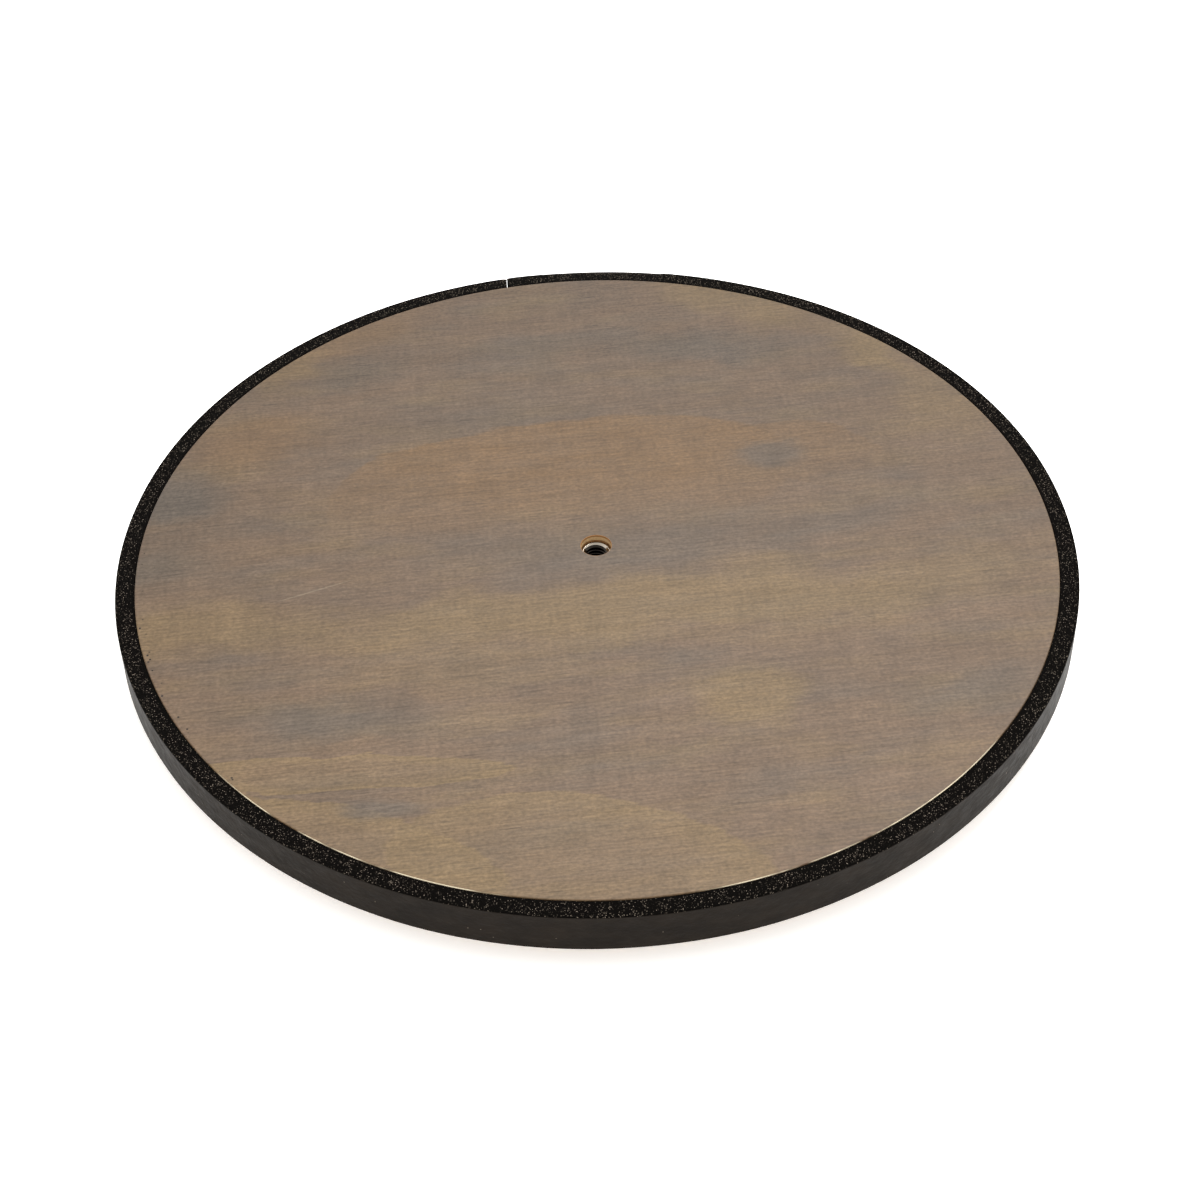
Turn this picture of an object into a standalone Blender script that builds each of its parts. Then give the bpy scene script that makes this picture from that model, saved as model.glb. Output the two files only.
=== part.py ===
"""Turntable display stand: a stained plywood platter with a foam edge band, on a caged ball ring bearing.

Metres, +Z up. The origin is on the table under the middle of the platter, and the platter turns about +Z.
The bearing's fixed outer ring stands on rubber pads. Its inner ring, in two riveted halves, carries the platter.
"""

import math

import bmesh
import bpy

MM = 0.001

# Platter: a round plywood board.
PLATTER_DIAMETER = 304.8 * MM
PLATTER_THICKNESS = 14.5 * MM
PLATTER_ARRIS = 0.4 * MM  # small bevel on both rims

# Edge band: self-adhesive foam strip, trimmed flush with both faces, with an open butt joint.
BAND_THICKNESS = 6.2 * MM
BAND_ROUNDING = 0.5 * MM
BAND_JOINT_GAP = 1.2 * MM
BAND_JOINT_DEG = 101.6  # anticlockwise from +X

# Tee nut: its flange is pressed flush into the underside, and its thread opens on the top face.
TEE_NUT_HEIGHT = 11.8 * MM
TEE_NUT_BARREL_DIAMETER = 9.6 * MM
TEE_NUT_THREAD_DIAMETER = 7.94 * MM
TEE_NUT_BORE_DIAMETER = 6.6 * MM
TEE_NUT_FLANGE_DIAMETER = 22.0 * MM
TEE_NUT_FLANGE_THICKNESS = 1.4 * MM
TEE_NUT_PRONGS = 4
PRONG_LENGTH = 6.5 * MM
PRONG_WIDTH = 3.2 * MM
PRONG_THICKNESS = 1.2 * MM
PRONG_INSET = 0.5 * MM  # from the flange's rim

# Ring bearing.
BEARING_DIAMETER = 200.0 * MM
BALL_DIAMETER = 3.175 * MM
BALL_COUNT = 24
RING_GAP = 1.6 * MM  # radial gap between the two rings
RING_OFFSET = 0.6 * MM  # how much higher the inner ring sits
RING_CHAMFER = 0.4 * MM
RACE_LIP = 0.6 * MM  # least wall above and below a race
RACE_WALL = 1.0 * MM  # least wall between a race and what is let into its ring
CAGE_RIM = 0.6 * MM  # cage left above and below each ball

# Rubber pads under the outer ring.
PAD_COUNT = 8
PAD_DIAMETER = 7.0 * MM
PAD_PROUD = 0.8 * MM
PAD_SUNK = 1.5 * MM
PAD_CHAMFER = 0.3 * MM
RING_EDGE_MARGIN = 1.2 * MM  # ring left between its rim and what is let into it

# Fasteners of the inner ring: wood screws up into the platter, and flush rivets between them.
FASTENER_COUNT = 6
SCREW_LENGTH = 16.0 * MM
SCREW_DIAMETER = 3.5 * MM
SCREW_HEAD_DIAMETER = 6.6 * MM
SCREW_POINT = 3.5 * MM
SCREW_TIP_DIAMETER = 0.6 * MM
RIVET_DIAMETER = 3.0 * MM
RIVET_HEAD_DIAMETER = 5.2 * MM

# Clearances.
RACE_CLEARANCE = 0.3 * MM  # ball to race, square to the race's face
POCKET_CLEARANCE = 0.3 * MM  # ball to cage
FIT_CLEARANCE = 0.3 * MM  # fixed pieces let into, seated on or passed through one another
FLUSH = 0.1 * MM  # how far a flush head lies below its face
OVERCUT = 1.0 * MM  # how far a cutter runs past the face that it cuts
SINK_MARGIN = FLUSH + FIT_CLEARANCE * math.sqrt(2)  # countersink to head, across the mouth of a 90 degree cone

# Facets round a turn.
RING_STEPS = 72
BOSS_STEPS = 24
SMALL_STEPS = 12
SMOOTH_LIMIT = math.radians(35)
HALF_FACET_DEG = 180.0 / RING_STEPS  # keeps what is cut into a ring off the edges between its facets

# Race: a 90 degree vee for each ring, with the ball touching all four faces.
RACE_APEX = (BALL_DIAMETER / 2 + RACE_CLEARANCE) * math.sqrt(2)
RACE_DEPTH = RACE_APEX - RING_GAP / 2

CAGE_THICKNESS = RING_GAP - 2 * FIT_CLEARANCE

# Radii of the bearing, from its rim inwards.
BEARING_RADIUS = BEARING_DIAMETER / 2
PAD_CIRCLE = BEARING_RADIUS - RING_EDGE_MARGIN - FIT_CLEARANCE - PAD_DIAMETER / 2
OUTER_RING_BORE = PAD_CIRCLE - PAD_DIAMETER / 2 - FIT_CLEARANCE - RACE_WALL / 2 - RACE_DEPTH
PITCH_RADIUS = OUTER_RING_BORE - RING_GAP / 2
INNER_RING_RIM = PITCH_RADIUS - RING_GAP / 2
SCREW_SINK_RADIUS = SCREW_HEAD_DIAMETER / 2 + SINK_MARGIN
RIVET_SINK_RADIUS = RIVET_HEAD_DIAMETER / 2 + SINK_MARGIN
FASTENER_CIRCLE = INNER_RING_RIM - RACE_DEPTH - RACE_WALL - SCREW_SINK_RADIUS
INNER_RING_BORE = FASTENER_CIRCLE - SCREW_SINK_RADIUS - RING_EDGE_MARGIN

# Heights, from the table up.
RING_HEIGHT = 2 * RACE_DEPTH + 2 * RACE_LIP + RING_OFFSET
OUTER_RING_BOTTOM = PAD_PROUD
OUTER_RING_TOP = OUTER_RING_BOTTOM + RING_HEIGHT
INNER_RING_BOTTOM = OUTER_RING_BOTTOM + RING_OFFSET
INNER_RING_TOP = INNER_RING_BOTTOM + RING_HEIGHT
BALL_HEIGHT = (OUTER_RING_BOTTOM + INNER_RING_TOP) / 2
PLATTER_BOTTOM = INNER_RING_TOP + FIT_CLEARANCE
PLATTER_TOP = PLATTER_BOTTOM + PLATTER_THICKNESS
TEE_NUT_BOTTOM = PLATTER_BOTTOM + FLUSH
TEE_NUT_TOP = TEE_NUT_BOTTOM + TEE_NUT_HEIGHT


def clear_scene():
    for obj in list(bpy.data.objects):
        bpy.data.objects.remove(obj)


def new_collection(name, hidden=False):
    collection = bpy.data.collections.new(name)
    bpy.context.scene.collection.children.link(collection)
    collection.hide_render = hidden
    return collection


def new_material(name, colour, roughness, metallic=0.0):
    material = bpy.data.materials.new(name)
    material.use_nodes = True
    shader = material.node_tree.nodes["Principled BSDF"]
    shader.inputs["Base Color"].default_value = (*colour, 1.0)
    shader.inputs["Roughness"].default_value = roughness
    shader.inputs["Metallic"].default_value = metallic
    return material


def link_only(obj, collection):
    for owner in list(obj.users_collection):
        owner.objects.unlink(obj)
    collection.objects.link(obj)


def settle(obj):
    """Replaces an object's mesh by its evaluated one, shaded smooth with its corners kept sharp."""
    bpy.context.view_layer.update()
    graph = bpy.context.evaluated_depsgraph_get()
    mesh = bpy.data.meshes.new_from_object(obj.evaluated_get(graph))
    mesh.name = obj.name
    obj.modifiers.clear()
    obj.data = mesh
    mesh.shade_smooth()
    mesh.set_sharp_from_angle(angle=SMOOTH_LIMIT)


def turned(name, profile, steps, closed):
    """A profile of (radius, height) points turned about Z. It runs down the outer side, top to bottom."""
    mesh = bpy.data.meshes.new(name)
    count = len(profile)
    edges = [(i, i + 1) for i in range(count - 1)]
    if closed:
        edges.append((count - 1, 0))
    mesh.from_pydata([(radius, 0.0, height) for radius, height in profile], edges, [])
    obj = bpy.data.objects.new(name, mesh)
    parts.objects.link(obj)
    screw = obj.modifiers.new("turn", "SCREW")
    screw.steps = screw.render_steps = steps
    screw.use_merge_vertices = True
    screw.merge_threshold = 1e-6
    screw.use_smooth_shade = True
    return obj


def cylinder_cutter(radius, bottom, top, at=(0.0, 0.0), steps=SMALL_STEPS):
    bpy.ops.mesh.primitive_cylinder_add(
        vertices=steps, radius=radius, depth=top - bottom, location=(*at, (bottom + top) / 2)
    )
    return as_cutter(bpy.context.object)


def countersunk_cutter(shank, head, face, end, at):
    """A hole with a 90 degree countersink whose mouth is on the face at one height; it ends at the other."""
    way = 1 if end > face else -1
    slope = head - shank
    profile = [
        (0.0, face - way * OVERCUT),
        (head + OVERCUT, face - way * OVERCUT),
        (shank, face + way * slope),
        (shank, end + way * OVERCUT),
        (0.0, end + way * OVERCUT),
    ]
    if way > 0:
        profile.reverse()
    tool = turned("countersink", profile, SMALL_STEPS, closed=False)
    tool.location = (*at, 0.0)
    return as_cutter(tool)


def box_cutter(size, centre, turn_z=0.0):
    bpy.ops.mesh.primitive_cube_add(size=1.0, location=centre, rotation=(0.0, 0.0, turn_z))
    obj = bpy.context.object
    obj.scale = size
    bpy.ops.object.transform_apply(location=False, rotation=False, scale=True)
    return as_cutter(obj)


def as_cutter(obj):
    obj.hide_render = True
    obj.display_type = "WIRE"
    link_only(obj, cutters)
    return obj


def cut(obj, tools):
    for tool in tools:
        boolean = obj.modifiers.new("cut", "BOOLEAN")
        boolean.operation = "DIFFERENCE"
        boolean.solver = "EXACT"
        boolean.object = tool


def around(radius, count, offset_deg=0.0):
    """(angle, x, y) of count places evenly spaced on a circle."""
    places = []
    for index in range(count):
        angle = math.radians(offset_deg) + index * math.tau / count
        places.append((angle, radius * math.cos(angle), radius * math.sin(angle)))
    return places


def place_copies(first, places, height, axis, name):
    """The first object and copies that share its mesh, one at each place, numbered from 1."""
    for index, (angle, x, y) in enumerate(places, start=1):
        obj = first if index == 1 else first.copy()
        if index > 1:
            parts.objects.link(obj)
        obj.name = f"{name}_{index:02d}"
        obj.location = (x, y, height)
        obj.rotation_euler = (0.0, 0.0, angle)
        obj.parent = axis


def screw_places():
    return around(FASTENER_CIRCLE, FASTENER_COUNT, offset_deg=HALF_FACET_DEG)


def rivet_places():
    return around(FASTENER_CIRCLE, FASTENER_COUNT, offset_deg=180.0 / FASTENER_COUNT + HALF_FACET_DEG)


def ball_places():
    return around(PITCH_RADIUS, BALL_COUNT, offset_deg=HALF_FACET_DEG)


def pad_places():
    return around(PAD_CIRCLE, PAD_COUNT, offset_deg=180.0 / PAD_COUNT)


def prong_places():
    reach = TEE_NUT_FLANGE_DIAMETER / 2 - PRONG_INSET - PRONG_THICKNESS / 2
    return around(reach, TEE_NUT_PRONGS, offset_deg=180.0 / TEE_NUT_PRONGS)


def make_platter(wood):
    rim = PLATTER_DIAMETER / 2
    hole = TEE_NUT_BARREL_DIAMETER / 2 + FIT_CLEARANCE
    pocket = TEE_NUT_FLANGE_DIAMETER / 2 + FIT_CLEARANCE
    pocket_top = TEE_NUT_BOTTOM + TEE_NUT_FLANGE_THICKNESS + FIT_CLEARANCE
    profile = [
        (hole, PLATTER_TOP),
        (rim - PLATTER_ARRIS, PLATTER_TOP),
        (rim, PLATTER_TOP - PLATTER_ARRIS),
        (rim, PLATTER_BOTTOM + PLATTER_ARRIS),
        (rim - PLATTER_ARRIS, PLATTER_BOTTOM),
        (pocket, PLATTER_BOTTOM),
        (pocket, pocket_top),
        (hole, pocket_top),
    ]
    platter = turned("platter", profile, RING_STEPS, closed=True)
    pilot = SCREW_DIAMETER / 2 + FIT_CLEARANCE
    screw_top = INNER_RING_BOTTOM + FLUSH + SCREW_LENGTH + FIT_CLEARANCE
    tools = [
        cylinder_cutter(pilot, PLATTER_BOTTOM - OVERCUT, screw_top, at=(x, y)) for _, x, y in screw_places()
    ]
    slot_size = (
        PRONG_THICKNESS + 2 * FIT_CLEARANCE,
        PRONG_WIDTH + 2 * FIT_CLEARANCE,
        PRONG_LENGTH + FIT_CLEARANCE + OVERCUT,
    )
    slot_top = TEE_NUT_BOTTOM + TEE_NUT_FLANGE_THICKNESS + PRONG_LENGTH + FIT_CLEARANCE
    for angle, x, y in prong_places():
        tools.append(box_cutter(slot_size, (x, y, slot_top - slot_size[2] / 2), angle))
    cut(platter, tools)
    settle(platter)
    platter.data.materials.append(wood)
    return platter


def make_edge_band(foam):
    inner = PLATTER_DIAMETER / 2 + FIT_CLEARANCE
    outer = inner + BAND_THICKNESS
    profile = [
        (inner, PLATTER_TOP),
        (outer - BAND_ROUNDING, PLATTER_TOP),
        (outer, PLATTER_TOP - BAND_ROUNDING),
        (outer, PLATTER_BOTTOM + BAND_ROUNDING),
        (outer - BAND_ROUNDING, PLATTER_BOTTOM),
        (inner, PLATTER_BOTTOM),
    ]
    band = turned("edge_band", profile, RING_STEPS, closed=True)
    angle = math.radians(BAND_JOINT_DEG)
    middle = (inner + outer) / 2
    size = (BAND_THICKNESS + 2 * OVERCUT, BAND_JOINT_GAP, PLATTER_THICKNESS + 2 * OVERCUT)
    centre = (middle * math.cos(angle), middle * math.sin(angle), (PLATTER_TOP + PLATTER_BOTTOM) / 2)
    cut(band, [box_cutter(size, centre, angle)])
    settle(band)
    band.data.materials.append(foam)
    return band


def make_tee_nut(steel):
    bore = TEE_NUT_BORE_DIAMETER / 2
    barrel = TEE_NUT_BARREL_DIAMETER / 2
    flange = TEE_NUT_FLANGE_DIAMETER / 2
    mouth = TEE_NUT_THREAD_DIAMETER / 2
    shoulder = TEE_NUT_BOTTOM + TEE_NUT_FLANGE_THICKNESS
    lead_in = mouth - bore
    profile = [
        (bore, TEE_NUT_TOP - lead_in),
        (mouth, TEE_NUT_TOP),
        (barrel, TEE_NUT_TOP),
        (barrel, shoulder),
        (flange, shoulder),
        (flange, TEE_NUT_BOTTOM),
        (mouth, TEE_NUT_BOTTOM),
        (bore, TEE_NUT_BOTTOM + lead_in),
    ]
    nut = turned("tee_nut", profile, BOSS_STEPS, closed=True)
    root = TEE_NUT_FLANGE_THICKNESS / 2  # how far a prong runs down inside the flange
    for angle, x, y in prong_places():
        length = PRONG_LENGTH + root
        bpy.ops.mesh.primitive_cube_add(
            size=1.0, location=(x, y, shoulder - root + length / 2), rotation=(0.0, 0.0, angle)
        )
        prong = bpy.context.object
        prong.scale = (PRONG_THICKNESS, PRONG_WIDTH, length)
        bpy.ops.object.transform_apply(location=False, rotation=False, scale=True)
        point_prong(prong)
        union = nut.modifiers.new("prong", "BOOLEAN")
        union.operation = "UNION"
        union.solver = "EXACT"
        union.object = as_cutter(prong)
    settle(nut)
    nut.data.materials.append(steel)
    return nut


def point_prong(prong):
    """Draws the top of a prong in to a point across its width."""
    tip = 0.2  # share of the width left at the point
    for vertex in prong.data.vertices:
        if vertex.co.z > 0:
            vertex.co.y *= tip


def make_outer_ring(aluminium):
    profile = [
        (OUTER_RING_BORE, OUTER_RING_TOP),
        (BEARING_RADIUS - RING_CHAMFER, OUTER_RING_TOP),
        (BEARING_RADIUS, OUTER_RING_TOP - RING_CHAMFER),
        (BEARING_RADIUS, OUTER_RING_BOTTOM + RING_CHAMFER),
        (BEARING_RADIUS - RING_CHAMFER, OUTER_RING_BOTTOM),
        (OUTER_RING_BORE, OUTER_RING_BOTTOM),
        (OUTER_RING_BORE, BALL_HEIGHT - RACE_DEPTH),
        (OUTER_RING_BORE + RACE_DEPTH, BALL_HEIGHT),
        (OUTER_RING_BORE, BALL_HEIGHT + RACE_DEPTH),
    ]
    ring = turned("bearing_outer_ring", profile, RING_STEPS, closed=True)
    recess = PAD_DIAMETER / 2 + FIT_CLEARANCE
    recess_top = OUTER_RING_BOTTOM + PAD_SUNK + FIT_CLEARANCE
    cut(
        ring,
        [
            cylinder_cutter(recess, OUTER_RING_BOTTOM - OVERCUT, recess_top, at=(x, y))
            for _, x, y in pad_places()
        ],
    )
    settle(ring)
    ring.data.materials.append(aluminium)
    return ring


def make_inner_ring_upper(aluminium):
    split = BALL_HEIGHT + FIT_CLEARANCE / 2
    profile = [
        (INNER_RING_BORE + RING_CHAMFER, INNER_RING_TOP),
        (INNER_RING_RIM, INNER_RING_TOP),
        (INNER_RING_RIM, BALL_HEIGHT + RACE_DEPTH),
        (INNER_RING_RIM - RACE_DEPTH + FIT_CLEARANCE / 2, split),
        (INNER_RING_BORE, split),
        (INNER_RING_BORE, INNER_RING_TOP - RING_CHAMFER),
    ]
    ring = turned("bearing_inner_ring_upper", profile, RING_STEPS, closed=True)
    tools = []
    for _, x, y in screw_places():
        radius = SCREW_DIAMETER / 2 + FIT_CLEARANCE
        tools.append(cylinder_cutter(radius, split - OVERCUT, INNER_RING_TOP + OVERCUT, at=(x, y)))
    for _, x, y in rivet_places():
        radius = RIVET_DIAMETER / 2 + FIT_CLEARANCE
        tools.append(countersunk_cutter(radius, RIVET_SINK_RADIUS, INNER_RING_TOP, split, (x, y)))
    cut(ring, tools)
    settle(ring)
    ring.data.materials.append(aluminium)
    return ring


def make_inner_ring_lower(aluminium):
    split = BALL_HEIGHT - FIT_CLEARANCE / 2
    profile = [
        (INNER_RING_BORE, split),
        (INNER_RING_RIM - RACE_DEPTH + FIT_CLEARANCE / 2, split),
        (INNER_RING_RIM, BALL_HEIGHT - RACE_DEPTH),
        (INNER_RING_RIM, INNER_RING_BOTTOM),
        (INNER_RING_BORE + RING_CHAMFER, INNER_RING_BOTTOM),
        (INNER_RING_BORE, INNER_RING_BOTTOM + RING_CHAMFER),
    ]
    ring = turned("bearing_inner_ring_lower", profile, RING_STEPS, closed=True)
    tools = []
    for places, shank, mouth in (
        (screw_places(), SCREW_DIAMETER, SCREW_SINK_RADIUS),
        (rivet_places(), RIVET_DIAMETER, RIVET_SINK_RADIUS),
    ):
        for _, x, y in places:
            radius = shank / 2 + FIT_CLEARANCE
            tools.append(countersunk_cutter(radius, mouth, INNER_RING_BOTTOM, split, (x, y)))
    cut(ring, tools)
    settle(ring)
    ring.data.materials.append(aluminium)
    return ring


def make_cage(nylon):
    pocket = BALL_DIAMETER / 2 + POCKET_CLEARANCE
    half = pocket + CAGE_RIM
    inner = PITCH_RADIUS - CAGE_THICKNESS / 2
    outer = PITCH_RADIUS + CAGE_THICKNESS / 2
    profile = [
        (inner, BALL_HEIGHT + half),
        (outer, BALL_HEIGHT + half),
        (outer, BALL_HEIGHT - half),
        (inner, BALL_HEIGHT - half),
    ]
    cage = turned("ball_cage", profile, RING_STEPS, closed=True)
    tools = []
    for angle, x, y in ball_places():
        tool = cylinder_cutter(pocket, -CAGE_THICKNESS - OVERCUT, CAGE_THICKNESS + OVERCUT)
        tool.location = (x, y, BALL_HEIGHT)
        tool.rotation_euler = (0.0, math.pi / 2, angle)
        tools.append(tool)
    cut(cage, tools)
    settle(cage)
    cage.data.materials.append(nylon)
    return cage


def make_balls(steel, axis):
    mesh = bpy.data.meshes.new("ball")
    shape = bmesh.new()
    bmesh.ops.create_icosphere(shape, subdivisions=2, radius=BALL_DIAMETER / 2)
    shape.to_mesh(mesh)
    shape.free()
    mesh.shade_smooth()
    mesh.materials.append(steel)
    first = bpy.data.objects.new("ball", mesh)
    parts.objects.link(first)
    place_copies(first, ball_places(), BALL_HEIGHT, axis, "ball")


def make_pads(rubber):
    radius = PAD_DIAMETER / 2
    top = PAD_PROUD + PAD_SUNK
    profile = [
        (0.0, top),
        (radius - PAD_CHAMFER, top),
        (radius, top - PAD_CHAMFER),
        (radius, PAD_CHAMFER),
        (radius - PAD_CHAMFER, 0.0),
        (0.0, 0.0),
    ]
    pad = turned("rubber_pad", profile, SMALL_STEPS, closed=False)
    settle(pad)
    pad.data.materials.append(rubber)
    place_copies(pad, pad_places(), 0.0, None, "rubber_pad")


def make_screws(steel, axis):
    """Countersunk wood screws, head down, with the head's face at the object's own origin."""
    shank = SCREW_DIAMETER / 2
    head = SCREW_HEAD_DIAMETER / 2
    profile = [
        (0.0, SCREW_LENGTH),
        (SCREW_TIP_DIAMETER / 2, SCREW_LENGTH),
        (shank, SCREW_LENGTH - SCREW_POINT),
        (shank, head - shank),
        (head, 0.0),
        (0.0, 0.0),
    ]
    screw = turned("platter_screw", profile, SMALL_STEPS, closed=False)
    settle(screw)
    screw.data.materials.append(steel)
    place_copies(screw, screw_places(), INNER_RING_BOTTOM + FLUSH, axis, "platter_screw")


def make_rivets(aluminium, axis):
    """Solid rivets set flush in a countersink at both ends."""
    shank = RIVET_DIAMETER / 2
    head = RIVET_HEAD_DIAMETER / 2
    length = RING_HEIGHT - 2 * FLUSH
    profile = [
        (0.0, length),
        (head, length),
        (shank, length - (head - shank)),
        (shank, head - shank),
        (head, 0.0),
        (0.0, 0.0),
    ]
    rivet = turned("ring_rivet", profile, SMALL_STEPS, closed=False)
    settle(rivet)
    rivet.data.materials.append(aluminium)
    place_copies(rivet, rivet_places(), INNER_RING_BOTTOM + FLUSH, axis, "ring_rivet")


def new_axis(name):
    """An empty on the turning axis, for the pieces that turn together."""
    axis = bpy.data.objects.new(name, None)
    axis.empty_display_type = "ARROWS"
    axis.empty_display_size = PLATTER_THICKNESS
    parts.objects.link(axis)
    return axis


def main():
    stained_plywood = new_material("stained_plywood", (0.24, 0.18, 0.135), 0.55)
    black_foam = new_material("black_foam", (0.012, 0.011, 0.010), 0.9)
    zinc_steel = new_material("zinc_plated_steel", (0.72, 0.70, 0.66), 0.3, 1.0)
    aluminium = new_material("turned_aluminium", (0.78, 0.78, 0.79), 0.35, 1.0)
    rivet_aluminium = new_material("rivet_aluminium", (0.70, 0.70, 0.71), 0.4, 1.0)
    bearing_steel = new_material("bearing_steel", (0.70, 0.70, 0.71), 0.12, 1.0)
    nylon = new_material("natural_nylon", (0.75, 0.73, 0.66), 0.5)
    pad_rubber = new_material("pad_rubber", (0.02, 0.02, 0.02), 0.7)

    platter_axis = new_axis("platter_axis")
    cage_axis = new_axis("cage_axis")
    turning = [
        make_platter(stained_plywood),
        make_edge_band(black_foam),
        make_tee_nut(zinc_steel),
        make_inner_ring_upper(aluminium),
        make_inner_ring_lower(aluminium),
    ]
    for obj in turning:
        obj.parent = platter_axis
    make_screws(zinc_steel, platter_axis)
    make_rivets(rivet_aluminium, platter_axis)
    make_cage(nylon).parent = cage_axis
    make_balls(bearing_steel, cage_axis)
    make_outer_ring(aluminium)
    make_pads(pad_rubber)


clear_scene()
parts = new_collection("turntable_display_stand")
cutters = new_collection("cutters", hidden=True)
main()
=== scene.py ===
"""Turntable display stand: a stained plywood platter with a foam edge band and a threaded nut in its middle,
carried by a slim ball ring bearing on rubber pads.

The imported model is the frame. Every piece here takes its place from it, stands for one CAD node and rides on
that node's body. Lengths are metres and +Z is up.
"""

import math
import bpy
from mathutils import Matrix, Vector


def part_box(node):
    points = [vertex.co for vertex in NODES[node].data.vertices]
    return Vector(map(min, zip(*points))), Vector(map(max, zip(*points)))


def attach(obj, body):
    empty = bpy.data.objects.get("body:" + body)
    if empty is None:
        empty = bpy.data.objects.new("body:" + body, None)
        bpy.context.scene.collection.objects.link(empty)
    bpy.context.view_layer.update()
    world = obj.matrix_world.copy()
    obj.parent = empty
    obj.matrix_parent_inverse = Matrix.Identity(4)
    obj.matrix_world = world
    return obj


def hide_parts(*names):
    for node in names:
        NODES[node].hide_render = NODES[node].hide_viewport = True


bl_info = {
    "name": "Turntable display stand",
    "version": (1, 0, 0),
    "blender": (4, 5, 0),
    "location": "View3D > Sidebar > Display stand",
    "description": "Builds the pieces, materials and studio of a round plywood turntable",
    "category": "Object",
}

import bmesh
import bpy
from bpy.props import FloatProperty, FloatVectorProperty, PointerProperty
from mathutils import Matrix, Vector, noise

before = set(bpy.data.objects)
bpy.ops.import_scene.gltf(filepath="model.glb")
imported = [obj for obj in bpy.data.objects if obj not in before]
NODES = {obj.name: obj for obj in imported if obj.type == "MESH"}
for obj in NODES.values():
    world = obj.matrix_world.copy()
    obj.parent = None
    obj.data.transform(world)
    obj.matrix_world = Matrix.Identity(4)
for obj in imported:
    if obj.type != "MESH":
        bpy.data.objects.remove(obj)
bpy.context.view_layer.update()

MM = 0.001
FULL_TURN = math.tau
TINY = 1e-7  # points nearer than this are one point
DEEP = 1000  # mm: a pattern this deep doesn't change with height


# Places and sizes, read from the frame


def middle(node):
    """The middle of a node's box."""
    low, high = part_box(node)
    return (low + high) / 2


def numbered(stem):
    """The names of the nodes in a numbered group, in order."""
    return sorted(name for name in NODES if name.startswith(stem) and name[len(stem) :].isdigit())


def levels(node):
    """The heights of a node's lowest and highest points."""
    low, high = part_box(node)
    return low.z, high.z


def radii(node):
    """The least and greatest distance of a node's corners from the turning axis."""
    spans = [math.hypot(corner.co.x, corner.co.y) for corner in NODES[node].data.vertices]
    return min(spans), max(spans)


PLATTER_BOTTOM, PLATTER_TOP = levels("platter")
PLATTER_HOLE, PLATTER_RADIUS = radii("platter")
BAND_INNER, BAND_OUTER = radii("edge_band")
NUT_LOW, NUT_HIGH = levels("tee_nut")
NUT_BORE, NUT_FLANGE = radii("tee_nut")
OUTER_BORE, OUTER_RIM = radii("bearing_outer_ring")
OUTER_BOTTOM, OUTER_TOP = levels("bearing_outer_ring")
INNER_BORE, INNER_RIM = radii("bearing_inner_ring_upper")
UPPER_SPLIT, INNER_TOP = levels("bearing_inner_ring_upper")
INNER_BOTTOM, LOWER_SPLIT = levels("bearing_inner_ring_lower")
CAGE_INNER, CAGE_OUTER = radii("ball_cage")
CAGE_BOTTOM, CAGE_TOP = levels("ball_cage")
BALL_LOW, BALL_HIGH = levels("ball_01")
BALL_HEIGHT = middle("ball_01").z
BALL_RADIUS = (BALL_HIGH - BALL_LOW) / 2
PAD_BOTTOM, PAD_TOP = levels("rubber_pad_01")
SCREW_HEAD, SCREW_TIP = levels("platter_screw_01")
RIVET_LOW, RIVET_HIGH = levels("ring_rivet_01")


def race_depth(node, wall):
    """How deep a ring's ball groove is cut, from its wall to the bottom of the vee."""
    level = [corner.co for corner in NODES[node].data.vertices if abs(corner.co.z - BALL_HEIGHT) < 0.2 * MM]
    return max(abs(math.hypot(point.x, point.y) - wall) for point in level)


def srgb(code):
    """A hex colour as linear red, green, blue and alpha."""
    channels = [int(code[place : place + 2], 16) / 255 for place in (1, 3, 5)]
    linear = [value / 12.92 if value <= 0.04045 else ((value + 0.055) / 1.055) ** 2.4 for value in channels]
    return (*linear, 1.0)


# Settings: the sizes and colours that a user would change


def length(name, description, millimetres):
    """A length setting. Its default is given in millimetres and kept in metres."""
    return FloatProperty(name=name, description=description, default=millimetres * MM, unit="LENGTH")


def colour(name, description, code):
    """A colour setting, whose default is a hex colour."""
    return FloatVectorProperty(
        name=name, description=description, default=srgb(code), size=4, min=0.0, max=1.0, subtype="COLOR"
    )


class PlatterSettings(bpy.types.PropertyGroup):
    arris: length("Arris", "Rounding of the platter's two rims", 0.35)
    ply: length("Ply", "Thickness of one inner ply", 1.45)
    stain: colour("Stain", "Grey-brown stain on birch, as it lies over most of the face", "#4f4032")
    warm: colour("Warm lap", "Where the stain was wiped thin over a first coat", "#55412b")
    straw: colour("Straw", "Where the veneer took little stain", "#584832")
    slate: colour("Slate", "Where the stain pooled and dried grey", "#423a32")
    birch: colour("Birch", "Raw birch, long grain", "#b3946a")
    # Pale tone for a real scratch, and for the painted highlight along the front of the rim.
    scratch_and_rim_highlight: colour("Worn rim", "Bare pale wood where the rim is sanded through", "#d3c6ab")
    nick: colour("Nick", "The dark bottom of a knife nick in the rim", "#0d0a07")
    birch_end: colour("Birch end grain", "Raw birch, end grain", "#865f37")


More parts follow.
